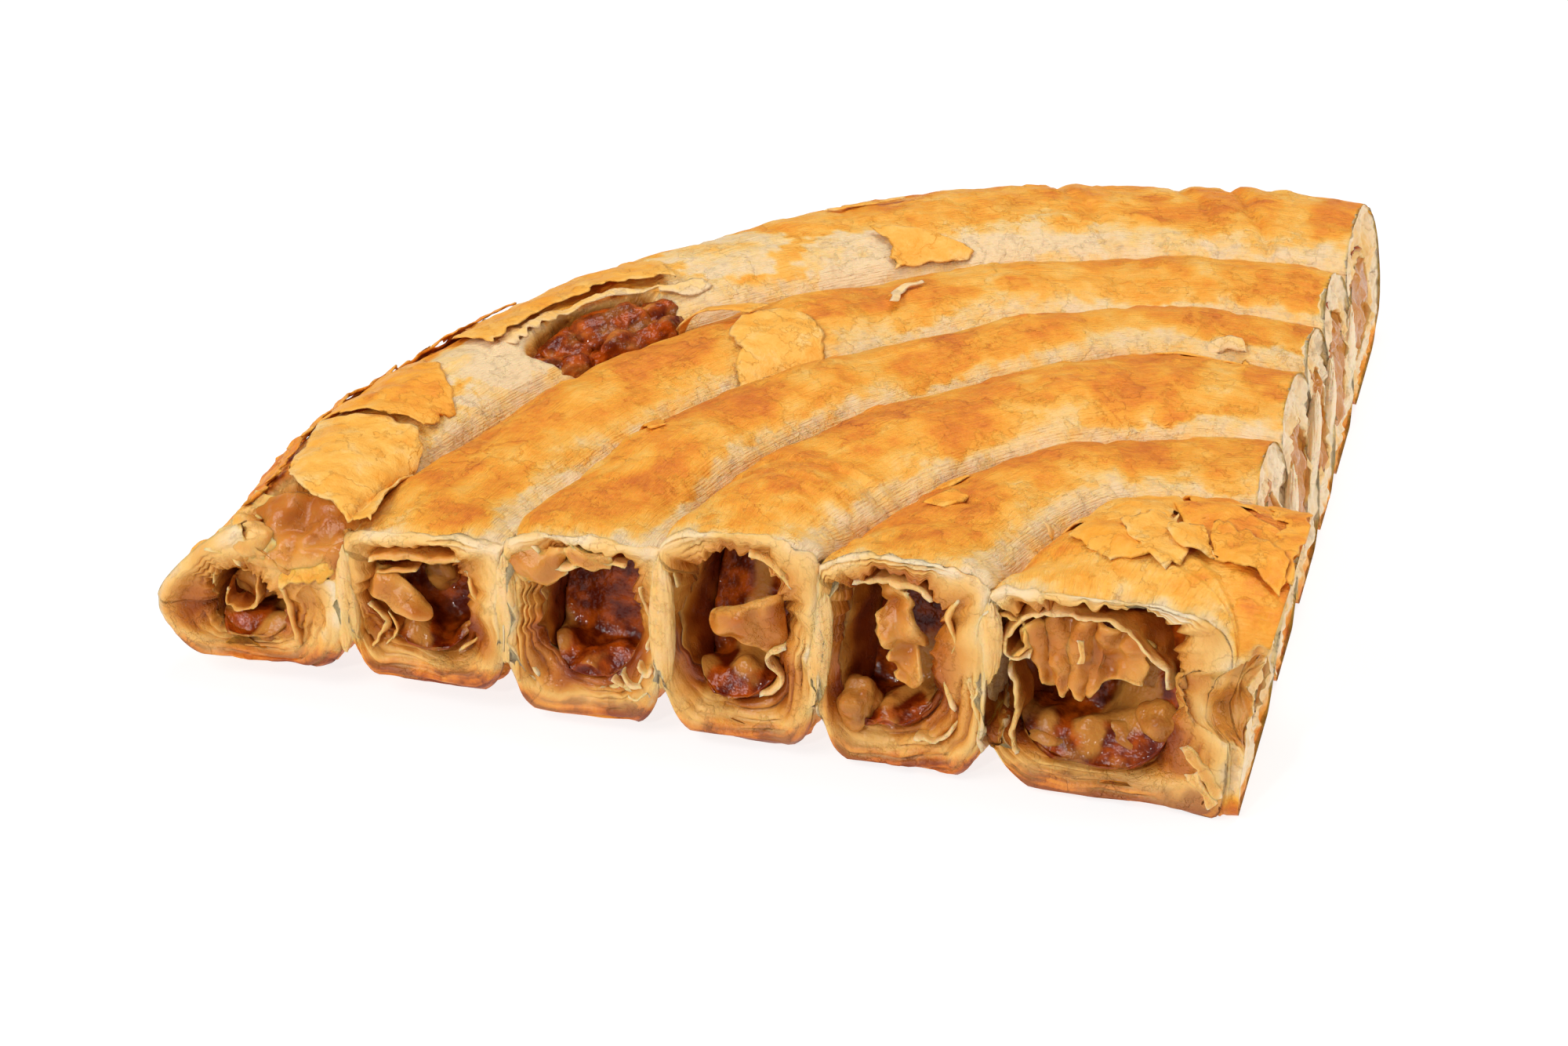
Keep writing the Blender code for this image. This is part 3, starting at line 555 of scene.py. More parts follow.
def place(turn, radius, t, height):
    """Points of the coil, in millimetres."""
    lean = SIDE_LEAN_FOOT + (CORE_LEAN if turn == TURNS else SIDE_LEAN) * (height / 30) ** 2
    lean = lean * smooth_step(LEAN_STARTS, QUARTER, t)
    x, y = CENTRE[0] - radius * np.cos(t) + lean, CENTRE[1] + radius * np.sin(t)
    return np.stack((x, y, height + 0 * t), -1)


def behind(turn, radius, t, back, height):
    """Points of the coil a distance further round it than angle t."""
    return place(turn, radius, t + back / np.maximum(radius, LEAST_RADIUS), height)


def rough(points, size, shift=0.0):
    """Smooth noise from about -1 to 1, with bumps about size millimetres across."""
    scaled = np.asarray(points).reshape(-1, 3) / size + shift
    values = np.array([noise.noise(point) for point in scaled.tolist()])
    return values.reshape(np.asarray(points).shape[:-1]) * NOISE_REACH


def ribbed(first, second, shift=0.0):
    """Smooth noise over two coordinates, already in bump sizes."""
    first, second = np.broadcast_arrays(first, second)
    return rough(np.stack((first, second, 0 * first + 0.37), -1), 1.0, shift)


class Rings:
    """Points in rings round a roll, with what the surface is at each: baked, crumb, and wetness with painted
    shade.
    """

    def __init__(self):
        self.points, self.marks = [], []

    def add(self, points, bake, crumb, wet_and_shade, run=0.0, side=0.0):
        """Add a ring, with its marks and how far along and round the roll it lies."""
        ones = np.ones(len(points))
        self.points.append(points)
        self.marks.append(np.stack((bake * ones, crumb * ones, wet_and_shade * ones, run * ones, side * ones), -1))


def skinned(name, shapes):
    """One mesh of closed shapes, each from a grid whose long edges are joined into rings."""
    bm = bmesh.new()
    places, marks = [], []
    for shape in shapes:
        points, mark = np.array(shape.points), np.array(shape.marks)
        count, sides = points.shape[:2]
        made = bmesh.ops.create_grid(bm, x_segments=count - 1, y_segments=sides, size=0.5)["verts"]
        flat = np.array([vertex.co[:2] for vertex in made])
        ring = np.rint((flat[:, 0] + 0.5) * (count - 1)).astype(int)
        side = np.rint((flat[:, 1] + 0.5) * sides).astype(int) % sides
        places.append(points[ring, side])
        marks.append(mark[ring, side])
    mesh = bpy.data.meshes.new(name)
    bm.to_mesh(mesh)
    mesh.vertices.foreach_set("co", (np.concatenate(places) * MM).ravel())
    mark_mesh(mesh, np.concatenate(marks))
    bm.clear()
    bm.from_mesh(mesh)
    bmesh.ops.remove_doubles(bm, verts=bm.verts[:], dist=1e-8)
    rims = [edge for edge in bm.edges if edge.is_boundary]
    bmesh.ops.holes_fill(bm, edges=rims, sides=0)
    bm.normal_update()
    bmesh.ops.recalc_face_normals(bm, faces=bm.faces[:])
    bm.to_mesh(mesh)
    bm.free()
    mesh.shade_smooth()
    return mesh


def mark_mesh(mesh, marks):
    """Write on a mesh's points how baked and crumbed it is, its wetness with painted shade, and where it
    lies on its roll.
    """
    for column, label in enumerate(("bake", "crumb", "wet_and_shade", "run", "side")):
        layer = mesh.attributes.new(label, "FLOAT", "POINT")
        layer.data.foreach_set("value", np.ascontiguousarray(marks[:, column], dtype=np.float32))


def dress(name, shapes, material, slot, *nodes):
    """Make closed shapes a piece of the part, riding on its body, in place of the given nodes."""
    mesh = skinned(name, shapes)
    piece = bpy.data.objects.new(name, mesh)
    bpy.context.scene.collection.objects.link(piece)
    mesh.materials.clear()
    mesh.materials.append(material)
    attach(piece, "root")
    if nodes:
        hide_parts(*nodes)


def outward(points):
    """Directions that face out of a ring's section, level with its plane."""
    ahead, behind = np.roll(points, -1, 0), np.roll(points, 1, 0)
    step = ahead - behind
    step /= np.maximum(np.linalg.norm(step, axis=1, keepdims=True), 1e-9)
    middle = points.mean(0)
    plane = np.cross(points[0] - middle, points[len(points) // 4] - middle)
    plane /= np.linalg.norm(plane)
    return np.cross(step, plane)


def bake_of(turn, t, radius, height, points):
    """How baked the crust is: 0 is raw cream, 0.4 yellow, 0.6 golden, 0.8 orange and 1 brown."""
    middle = crest_radius(turn, t)
    travel = t * middle
    fine = 0.9 * rough(points, 3.0, turn) + 0.45 * rough(points, 1.3, turn + 3)
    across = radius - middle
    streak = ribbed(travel / 16, across / 1.7, turn) * 0.6
    streak = streak + ribbed(travel / 7, across / 0.9, turn + 5.0) * 0.4
    blotch = rough(points, 7.0, 3.0 + turn)
    bake = CREST_BAKE[turn] + 0.14 * rough(points, 15.0, turn) + 0.12 * np.tanh(2.0 * blotch)
    bake += 0.05 * np.tanh(2.5 * rough(points, 3.0, 13.0 + turn))
    bake += 0.05 * streak + 0.03 * rough(points, 1.5)
    inner = radius - seam(turn, t)
    strip = PALE_STRIP[turn] * (0.85 + 0.45 * ribbed(travel / 22, 0.0, turn * 3.0))
    if turn < TURNS:
        bake -= 0.20 * (1 - smooth_step(strip, strip + 6, inner + fine))
        pale = 0.14 + 0.10 * rough(points, 3.2, 9.0)
        peeled = 1 - smooth_step(strip - 0.7, strip + 0.9, inner + fine)
        bake = bake * (1 - peeled) + pale * peeled
    near_cut = 0.15 * (1 - smooth_step(0.0, 10.0, travel + 2 * fine))
    bake -= near_cut + 0.2 * (1 - smooth_step(0.0, 3.5, travel + fine))
    for degrees, at, half_length, half_width, amount in PATCHES.get(turn, ()):
        away = np.hypot((t - radians(degrees)) * at / half_length, (radius - at) / half_width)
        away = away + 0.30 * rough(points, 5.0, degrees) + 0.16 * rough(points, 1.8, degrees)
        edge = (1.05, 0.9) if amount < 0 else (1.2, 0.8)
        strength = amount if amount < 0 else 0.5 * amount
        bake += strength * (1 - smooth_step(edge[1], edge[0], away))
    low = groove(turn, t) - 1.5
    wall = 0.10 + 0.06 * rough(points, 4.0, 5.0)
    foot = 0.82 + 0.10 * rough(points, 7.0, 2.0) + 0.08 * rough(points, 2.0, 8.0)
    under = wall + (foot - wall) * (1 - smooth_step(1.0, 6.0, height - underside(turn, t) + fine))
    if turn == 1:
        outside = smooth_step(0.0, 4.0, across)
        edge = 0.66 + 0.14 * rough(points, 9.0, 4.0) + 0.08 * ribbed(travel / 12, height / 1.3, 8.0)
        under = under * (1 - outside) + outside * edge
        low = np.where(across > 0, TIP_HEIGHT + 3, low)
    if turn == TURNS:
        low = np.where(across < -4, 27.0 + 1.5 * rough(points, 5.0), low)
    upper = smooth_step(low - 2.0, low + 1.5, height)
    spare = 0.18 if turn == TURNS else 0.12
    bake = np.where(bake > 0.62, 0.62 + spare * np.tanh((bake - 0.62) / spare), bake)
    return under * (1 - upper) + bake * upper


def skin_relief(turn, t, points, height, across):
    """How far the crust stands out from its smooth form."""
    travel = t * crest_radius(turn, t)
    relief = (0.3 if turn == 1 else 0.5) * rough(points, 12.0, turn * 2.0)
    relief = relief + 0.24 * rough(points, 4.6, turn) + 0.09 * rough(points, 1.9)
    relief += 0.10 * ribbed(travel / 9, across / 1.4, turn + 2.0)
    fold = ribbed(travel / 9 + across / 22, across / 30, turn * 4.0)
    folds = 0.2 if turn == 1 else 0.5
    folded = smooth_step(0.1, 0.7, rough(points, 24.0, turn + 8.0))
    relief -= folds * smooth_step(0.45, 0.0, np.abs(fold)) * folded
    blister = rough(points, 3.4, turn + 20.0)
    relief += 0.35 * smooth_step(0.75, 1.15, blister)
    for degrees, deep in CREASES.get(turn, ()):
        off = (t - radians(degrees)) * CREASE_RADIUS + 0.25 * across + 1.2 * ribbed(across / 9, 0.0, degrees)
        relief -= deep * exp(-((off / 1.1) ** 2)) - 0.4 * deep * exp(-(((off - 3.5) / 2.6) ** 2))
    return relief * smooth_step(-0.5, 3.0, height - underside(turn, t))


def sunken(t, radius, points):
    """How far the crust has sunk where it has torn open."""
    sunk = np.zeros(np.shape(radius))
    for degrees, at, half_length, half_width, depth in TEARS:
        away = np.hypot((t - radians(degrees)) * at / half_length, (radius - at) / half_width)
        away = away + 0.12 * rough(points, 3.0, degrees)
        sunk = np.maximum(sunk, depth * (1 - smooth_step(0.75, 1.08, away)))
    return sunk


def scooped(turn, points, wet_and_shade, deeper=1.0):
    """Points and wetness with the scoops of a turn taken out; deeper keeps inner walls inside."""
    for middle, size, soak in SCOOPS.get(turn, ()):
        heart = np.array((CENTRE[0] - middle[0], CENTRE[1] + middle[1], middle[2]))
        away = (points - heart) / (np.array(size) * deeper)
        uneven = 1 + 0.14 * rough(points, 4.5, middle[2]) + 0.05 * rough(points, 1.6)
        far = np.linalg.norm(away, axis=1) * uneven
        inside = far < 1
        push = np.where(inside, 1 / np.maximum(far, 0.12), 1.0)
        points = heart + (points - heart) * push[:, None]
        mottled = soak + 0.2 * rough(points, 3.2, middle[2] + 3.0)
        wet_and_shade = np.maximum(wet_and_shade, mottled * (1 - smooth_step(0.9, 1.1, far)))
    return points, wet_and_shade


def cut_layers(inner, outer, arc, seed, loose_bottom=0.5):
    """Rings over a cut, from the hollow's edge to the skin, with how loose each layer is."""
    steps = [(layer, part, setback) for layer in range(LAYERS) for part, setback in LAYER_PROFILE]
    high = (outer[1] - outer[1].min()) / np.ptp(outer[1])
    for layer, part, setback in steps:
        share = (layer + part) / LAYERS
        bulge = 4 * share * (1 - share)
        swing = 0.12 * ribbed(arc / 14, share * 1.5, seed) + 0.05 * ribbed(arc / 5, share * 3, seed)
        bend = share + bulge * swing
        loose = -0.25 + 1.1 * ribbed(arc / 12, share * 1.1, seed + 7.0)
        loose = np.clip(loose + loose_bottom * smooth_step(0.35, 0.0, high), 0.0, 1.1)
        back = setback * (0.05 + 1.3 * loose)
        back = back + (0.05 + 0.9 * loose) * np.maximum(0, 0.2 + ribbed(arc / 5.5, layer * 3.7, seed + 2.0))
        back = back + 0.3 * loose * np.maximum(0, ribbed(arc / 1.6, layer * 5.3, seed + 4.0))
        back = back + 0.9 * (0.5 + ribbed(arc / 8, share * 2.2, seed + 9.0)) * bulge
        r = inner[0] + (outer[0] - inner[0]) * bend
        z = inner[1] + (outer[1] - inner[1]) * bend
        yield share, r, z, np.maximum(back, -0.4), loose, setback


def crust(turn, material):
    """One turn of the roll: the front hollow, the cut layers, the skin, and the second cut."""
    rings = Rings()
    reach = crest_radius(turn, 0)
    front_r, front_z = even_section(turn, 0.0)
    side_r, side_z = even_section(turn, QUARTER)
    arc, side_arc = walked(front_r, front_z), walked(side_r, side_z)
    upper = smooth_step(0.5, 4.0, front_z - groove(turn, 0) + 3)
    lip = 0.35 + 0.7 * ribbed(arc / 6.0, 0.0, turn) + 0.5 * ribbed(arc / 1.9, 5.0, turn)
    lip = np.maximum(0.0, lip) * (0.7 + 1.0 * upper)
    held = smooth_step(4, 10, front_z - underside(turn, 0)) * smooth_step(2, 8, groove(turn, 0) - front_z)
    held = held * smooth_step(0.55, 0.8, np.abs(front_r - front_r.mean()) / (np.ptp(front_r) / 2))
    held = held * np.where((turn == 1) & (front_r > front_r.mean()), 0.0, 1.0)
    lip = lip * (1 - 0.9 * held)
    rounding = (1.8 - 1.1 * upper) * (1 - 0.95 * held)
    funnel = np.clip(0.75 + 0.7 * ribbed(arc / 16.0, 0.0, turn + 40.0), 0.25, 1.3) * FUNNEL[turn]
    mouth_lip = np.maximum(0.0, 0.7 + 1.0 * ribbed(arc / 5.0, 3.0, turn + 20.0))

    mr, mz = hollow_middle(turn, 0.0, 0.0)
    angle = np.arctan2(front_z - mz, front_r - mr)
    level = FILLING_LEVEL[turn]
    tatter = 0.9 * ribbed(arc / 2.6, 0.0, turn + 5.0) + 0.6 * ribbed(arc / 1.1, 0.0, turn + 6.0)
    tatter = tatter * smooth_step(mz - 16, mz + 6, front_z)
    for travel in np.concatenate((np.arange(HOLLOW_DEPTH, 2.4, -0.8), np.arange(2.2, 0.2, -0.5))):
        t = travel / reach
        deeper = funnel * (1 - travel / HOLLOW_DEPTH)
        r, z = hollow_outline(turn, travel, t, angle)
        shrink = 1 - 0.12 * tatter * (1 - smooth_step(0.5, 3.5, travel))
        r, z = mr + (r - mr) * shrink, mz + (z - mz) * shrink
        deeper = deeper + mouth_lip * (1 - smooth_step(0, 6, travel))
        points = behind(turn, r, t, deeper, z)
        fold = 0.55 * rough(points, 4.5, turn) + 0.2 * rough(points, 1.7, turn)
        points = points - outward(points) * (fold * smooth_step(0, 3, travel))[:, None]
        # Wetness grows deeper into the hollow: partly the jam's stain, partly painted shade.
        soaked_and_shaded = 0.36 + 0.62 * smooth_step(0.5, 8.0, travel)
        soaked_and_shaded = soaked_and_shaded + 0.35 * (1 - smooth_step(level - 2, level + 7, z))
        soaked_and_shaded = soaked_and_shaded + 0.15 * rough(points, 4.0, turn + 3)
        points, soaked_and_shaded = scooped(turn, points, soaked_and_shaded, 1.09)
        rings.add(points, 0.1, 1.0, np.clip(soaked_and_shaded, 0, 1))

    hr, hz = hollow_outline(turn, 0.0, 0.0, angle)
    hr, hz = mr + (hr - mr) * (1 - 0.12 * tatter), mz + (hz - mz) * (1 - 0.12 * tatter)
    wet_rim = 0.25 + RIM_SOAK.get(turn, 0) + 0.4 * (1 - smooth_step(level - 2, level + 9, front_z))
    for share, r, z, back, loose, shaded_setback in cut_layers((hr, hz), (front_r, front_z), arc, turn):
        rim = smooth_step(0.86, 1.0, share)
        back = back + lip * rim + mouth_lip * (1 - smooth_step(0.0, 0.15, share))
        back = back + rounding * smooth_step(0.72, 1.0, share) ** 2
        back = back + funnel * (1 - smooth_step(-0.1, 0.85, share)) ** 1.3
        points = behind(turn, r, 0.0, back, z)
        tint = 0.12 + 0.10 * rough(points, 3.5, turn) + 0.18 * smooth_step(0.88, 1.0, share) * upper
        above = z - underside(turn, 0) + 1.6 * rough(points, 5.0, turn) + 0.8 * rough(points, 1.6, turn)
        toasted = 1 - smooth_step(2.5, 9.0, above)
        tint = tint + (0.84 + 0.18 * ribbed(arc / 9, share * 14, turn + 12.0)) * toasted
        wet_and_shade = (wet_rim + 0.2) * (1 - share) ** 1.1 + 0.12
        wet_and_shade = wet_and_shade + 0.12 * rough(points, 5.0, turn + 2) - 0.12 * loose
        # Painted shade: the setbacks between dough layers are darkened, as if wetter.
        wet_and_shade = wet_and_shade + 0.22 * shaded_setback * smooth_step(0.05, 0.4, loose)
        if turn == 1:
            wet_and_shade = wet_and_shade + 0.08 * smooth_step(154, 163, r + rough(points, 3.0))
        wet_and_shade = wet_and_shade * (1 - 0.7 * toasted)
        points, wet_and_shade = scooped(turn, points, wet_and_shade)
        rings.add(points, tint, 1.0 - 0.4 * rim, np.clip(wet_and_shade, 0, 1), arc / 12, share * 0.55)

    length = reach * QUARTER
    steps = round(length / CRUST_STEP)
    for k in range(steps + 1):
        t = QUARTER * k / steps
        r, z = even_section(turn, t)
        travel = t * reach
        push = (lip + rounding) * (1 - smooth_step(0, 9, travel))
        points = behind(turn, r, t, push, z)
        across = r - crest_radius(turn, t)
        relief = skin_relief(turn, t, points, z, across)
        bake = bake_of(turn, t, r, z, points)
        opened = 0
        if turn == 1:
            sunk = sunken(t, r, points) * smooth_step(18, 24, z)
            relief, opened = relief - sunk, np.clip(sunk / 2.5, 0, 1)
        relief = relief - 0.85 * rounding * (1 - smooth_step(0, 5.0, travel)) ** 2
        low = 1 - smooth_step(groove(turn, t) - 4, groove(turn, t) + 2, z)
        slump = 1.3 * rough(points, 6.0, turn + 14.0) + 0.7 * rough(points, 2.2, turn + 15.0) - 0.8
        relief = relief + slump * low * (1 - smooth_step(0, 16, travel))
        points = points + outward(points) * relief[:, None]
        points[:, 2] = np.maximum(points[:, 2], 0.0)
        points, wet_and_shade = scooped(turn, points, 0.6 * opened)
        across_roll = np.arange(len(r)) * 0.06
        rings.add(points, bake, opened, wet_and_shade, travel / 10, across_roll)

    mr, mz, wide, high = bore(turn, QUARTER)
    angle = np.arctan2(side_z - mz, side_r - mr)
    uneven = 0.09 * ribbed(angle, 0.0, turn + 30.0), 0.04 * ribbed(angle * 4, 0.0, turn + 31.0)
    mouth = oval(angle, wide, high) * (SIDE_MOUTH + uneven[0] + uneven[1])
    hr, hz = mr + mouth * np.cos(angle), mz + mouth * np.sin(angle)
    layers = list(cut_layers((hr, hz), (side_r, side_z), side_arc, turn + 11.0, 0.2))
    for share, r, z, back, _, _ in reversed(layers):
        rim = smooth_step(0.86, 1.0, share)
        flat = place(turn, r, QUARTER, z)
        torn = 0.8 + 0.9 * rough(flat, 4.5, 40.0) + 0.5 * rough(flat, 1.8, 41.0)
        torn = torn + 0.25 * rough(flat, 0.9, 42.0)
        back = 0.2 * back + torn * (1 - 0.6 * rim)
        points = behind(turn, r, QUARTER, -back, z)
        tint = 0.08 + 0.08 * rough(points, 3.5, turn) + 0.15 * smooth_step(0.9, 1.0, share)
        tint = tint + 0.5 * (1 - smooth_step(1.0, 4.0, z + 0.8 * rough(points, 3.0, turn)))
        points, wet_and_shade = scooped(turn, points, 0.02 + 0.12 * rough(points, 7.0, turn + 2) + 0.12 * (1 - share))
        rings.add(points, tint, 1.0, np.clip(wet_and_shade, 0, 1), side_arc / 30, share * 0.3)
    for travel in np.arange(0.8, SIDE_DEPTH.get(turn, SIDE_DEPTH_USUAL), 0.9):
        t = QUARTER - travel / reach
        mr, mz, _, _ = bore(turn, t)
        r, z = mr + mouth * np.cos(angle), mz + mouth * np.sin(angle)
        points = place(turn, r, t, z)
        points = points - outward(points) * (0.4 * rough(points, 4.0, turn))[:, None]
        # The side hollow's wall darkens deeper in: partly the jam's stain, partly painted shade.
        rings.add(points, 0.1, 1.0, 0.3 + 0.4 * smooth_step(0, 5, travel))
    dress(f"crust_{turn}", [rings], material, "baked_dough", f"dough_turn_{turn}")


def filling_level(turn, travel):
    """Height of the filling's top at a distance behind the first cut; it ends above the roof."""
    shore = MOUTHS[turn][0][1] - MOUTHS[turn][1][9] + 0.6
    level = FILLING_LEVEL[turn]
    start = shore + (level - shore) * smooth_step(FRONT_RECESS, FRONT_RECESS + 4.0, travel) ** 0.7
    return start + (44.0 - level) * smooth_step(*FILLING_RISE, travel)


def level_with(across, travel):
    """Points of a level plane, to shape and colour the filling's heaps alike."""
    return np.stack((across, 0 * across + travel, 0 * across), -1)


def filling(turn, material):
    """The apple and jam in one turn: a sloping heap in the front hollow, full behind it."""
    rings = Rings()
    reach = crest_radius(turn, 0)
    stop = reach * QUARTER - SIDE_RECESS.get(turn, SIDE_RECESS_USUAL)
    front = np.arange(FRONT_RECESS, 26.0, 0.55)
    inside = np.linspace(26.0, stop - 6, max(3, round((stop - 32) / 6)))
    travels = np.concatenate((front, inside, np.linspace(stop - 5, stop, 7)))
    around = np.linspace(0, 2 * pi, 361)
    across = np.linspace(0, 1, 64, endpoint=False)
    beneath = np.linspace(0, 1, 30, endpoint=False)

    def ring(travel, shrink=1.0):
        """Radius, angle and height round the filling at a distance behind the first cut."""
        t = travel / reach
        r, z = hollow_outline(turn, travel, min(t, QUARTER), around)
        level = 60.0 if travel > HOLLOW_DEPTH else filling_level(turn, travel)
        outer = np.abs((around + pi / 2) % (2 * pi) - pi / 2) <= pi / 2
        shores = []
        for half in (outer, ~outer):
            order = np.argsort(z[half])
            shores.append(np.interp(min(level, z.max()), z[half][order], r[half][order]))
        if level > hollow_middle(turn, travel, t)[1]:
            shores = r.max(), r.min()
        shore_out, shore_in = shores
        top_r = shore_out + (shore_in - shore_out) * across
        low_r = shore_in + (shore_out - shore_in) * beneath
        upper = around <= pi
        roof = np.interp(top_r, r[upper][::-1], z[upper][::-1])
        floor = np.interp(low_r, r[~upper], z[~upper])
        floor = np.minimum(floor, np.interp(low_r, r[upper][::-1], z[upper][::-1]))
        over = level_with(top_r, travel)
        ripple = 1.6 * rough(over, 6.0, turn + 50.0) + 0.8 * rough(over, 3.6, turn)
        top_z = np.minimum(level + ripple, roof - 0.3)
        radius, height = np.concatenate((top_r, low_r)), np.concatenate((top_z, floor + 0.2))
        mid_r, mid_z = radius.mean(), height.mean()
        radius, height = mid_r + (radius - mid_r) * shrink, mid_z + (height - mid_z) * shrink
        return radius, t, height

    for shrink in (0.02, 0.3, 0.55, 0.75, 0.9):
        r, t, z = ring(FRONT_RECESS, shrink)
        bulge = 0.5 * rough(place(turn, r, 0 * r, z), 3.0, turn) * (1 - shrink)
        rings.add(behind(turn, r, t, bulge, z), APPLE_SHARE[turn], 0.0, 0.5)
    for travel in travels:
        r, t, z = ring(travel)
        points = place(turn, r, t + 0 * r, z)
        heaps = rough(level_with(CENTRE[0] - points[:, 0], travel), 6.0, turn + 50.0)
        apple = np.clip(APPLE_SHARE[turn] + 0.7 * heaps + 0.2 * rough(points, 2.5, turn), 0, 1)
        apple = apple * (1 - 0.8 * smooth_step(FILLING_RISE[0] + 1, FILLING_RISE[1], travel))
        rings.add(points, apple, 0.0, 0.5)
    for shrink in (0.93, 0.82, 0.7, 0.58, 0.46, 0.34, 0.22, 0.1, 0.01):
        r, t, z = ring(stop, shrink)
        points = place(turn, r, t + 0 * r, z)
        bulge = 1.0 * rough(points, 4.0, turn) + 0.4 * rough(points, 1.6)
        points = behind(turn, r, t, -bulge, z)
        rings.add(points, 0.85, 0.0, 0.0)
    dress(f"filling_of_{turn}", [rings], material, "apple_filling", f"filling_{turn}")


def curve(points, count):
    """Evenly numbered points on a smooth curve through the given ones."""
    points = np.array(points, dtype=float)
    padded = np.concatenate((2 * points[:1] - points[1:2], points, 2 * points[-1:] - points[-2:-1]))
    place = np.linspace(0, len(points) - 1, count)
    first = np.minimum(place.astype(int), len(points) - 2)
    f = (place - first)[:, None]
    return cubic(*(padded[first + k] for k in range(4)), f)


def skin_height(turn, t, radius):
    """Height of a turn's top skin at a radius."""
    middle = crest_radius(turn, t)
    height = np.full(np.shape(radius), 0.0)
    for outward_side in (True, False):
        edge = seam(turn - 1 if outward_side else turn, t)
        shoulder = groove(turn - 1 if outward_side else turn, t)
        power = shoulder_power(turn, outward_side, t)
        share = np.clip(np.abs((radius - middle) / (edge - middle)), 0, 1)
        here = shoulder + (crest(turn, t) - shoulder) * (1 - share**power) ** (1 / power)
        height = np.where((radius >= middle) == outward_side, here, height)
    return height


def on_top(points):
    """World points of (degrees, radius, lift) over the crust's top."""
    t, radius = radians(points[..., 0]), points[..., 1]
    height = np.zeros(radius.shape)
    for turn in range(1, TURNS + 1):
        inside = (radius >= seam(turn, t)) & ((radius < seam(turn - 1, t)) | (turn == 1))
        height = np.where(inside, skin_height(turn, t, radius), height)
    core = (radius < seam(TURNS - 1, t))[..., None]
    lifted = height + points[..., 2]
    return np.where(core, place(TURNS, radius, t, lifted), place(1, radius, t, lifted))


def in_front(points):
    """World points of (radius, height, distance behind the first cut)."""
    return behind(1, points[..., 0], 0.0, points[..., 2], points[..., 1])


def ribbon(path, near, far, **options):
    """A sheet whose path is given at the first cut as (radius, height)."""
    return leaf([(*at, near) for at in path], [(*at, far) for at in path], in_front, **options)


def flake(first, second, style, seed):
    """A flake on the top, between two edges given as (degrees, radius, lift)."""
    bake, ruffle, ragged, thick = (*style, FLAKE_THICK)[:4]
    return leaf(first, second, on_top, thick, ruffle, ragged, bake, crumb=0.0, wet_and_shade=0.0, seed=seed)


def leaf(
    first, second, mapping, thick=0.6, ruffle=0.6, ragged=0.5, bake=0.1, crumb=1.0, wet_and_shade=0.1,
    depth_shade=0.55, seed=0.0,
):
    """A thin ragged sheet of dough between two edges; mapping takes their points to the world."""
    ends = [mapping(np.array(edge, dtype=float)) for edge in (first, second)]
    long_way = max(np.linalg.norm(np.diff(ends[0], axis=0), axis=1).sum(), 4.0)
    wide_way = max(np.linalg.norm(ends[1].mean(0) - ends[0].mean(0)), 2.0)
    across, down = int(max(14, long_way / LEAF_CELL[0])), int(max(8, wide_way / LEAF_CELL[1]))
    one, two = curve(first, across), curve(second, across)
    u, v = np.meshgrid(np.linspace(0, 1, across), np.linspace(0, 1, down))
    trim = [
        np.maximum(0, ragged / wide_way * (ribbed(u * long_way / size, seed + k, seed) * share + 0.3))
        for k, size, share in ((1.0, 3.4, 1.0), (7.0, 2.6, 0.9))
    ]
    nick = np.maximum(0, ragged / wide_way * 0.6 * ribbed(u * long_way / 1.1, seed + 3, seed))
    v = trim[0] + nick + v * (1 - trim[0] - trim[1] - nick)
    slide = [ragged / long_way * ribbed(v * wide_way / 2.8, seed, shift) for shift in (5.0, 9.0)]
    u = np.clip(u + slide[0] * (1 - u) + slide[1] * u, 0, 1)
    column = u * (across - 1)
    low = np.minimum(column.astype(int), across - 2)
    f = (column - low)[..., None]
    edge_one = one[low] * (1 - f) + one[low + 1] * f
    edge_two = two[low] * (1 - f) + two[low + 1] * f
    middle = mapping(edge_one * (1 - v[..., None]) + edge_two * v[..., None])
    normal = np.cross(np.gradient(middle, axis=1), np.gradient(middle, axis=0))
    normal /= np.maximum(np.linalg.norm(normal, axis=2, keepdims=True), 1e-9)
    wave = ruffle * (rough(middle, 5.0, seed) + 0.35 * rough(middle, 1.9, seed + 2))
    middle = middle + normal * wave[..., None]
    body = thick / 2 * (1 + 0.3 * rough(middle, 3.0, seed))
    for place_in, span in ((u, long_way), (v, wide_way)):
        inside = np.clip(np.minimum(place_in, 1 - place_in) * span / max(thick * 0.9, 0.4), 0, 1)
        body = body * np.sqrt(np.maximum(0.04, 1 - (1 - inside) ** 2))
    body[0] = body[-1] = 0
    rings = Rings()
    spots = 0.08 * rough(middle, 3.0, seed + 1)
    for k in range(down):
        upper = middle[k] + normal[k] * body[k][:, None]
        lower = middle[k] - normal[k] * body[k][:, None]
        spot = np.concatenate((spots[k], spots[k][::-1]))
        rim = 0.10 * (1 - smooth_step(0.0, 0.12, np.minimum(u[k], 1 - u[k])))
        rim = np.concatenate((rim, rim[::-1])) + 0.10 * (1 - smooth_step(0, 3, min(k, down - 1 - k)))
        soaked_and_shaded = 0.0
        if mapping is in_front and crumb:
            depth = np.concatenate((middle[k], middle[k][::-1]))[:, 1] - CENTRE[1]
            soaked_and_shaded = (wet_and_shade + 0.12) * (1.2 + 2.5 * spot) * (1 - 4 * np.minimum(rim, 0.2))
            # Painted shade: sheets darken further behind the first cut.
            soaked_and_shaded = soaked_and_shaded + depth_shade * smooth_step(1.5, 7.0, depth)
        rings.add(np.concatenate((upper, lower[::-1])), bake + spot - rim, crumb, np.clip(soaked_and_shaded, 0, 1))
    return rings


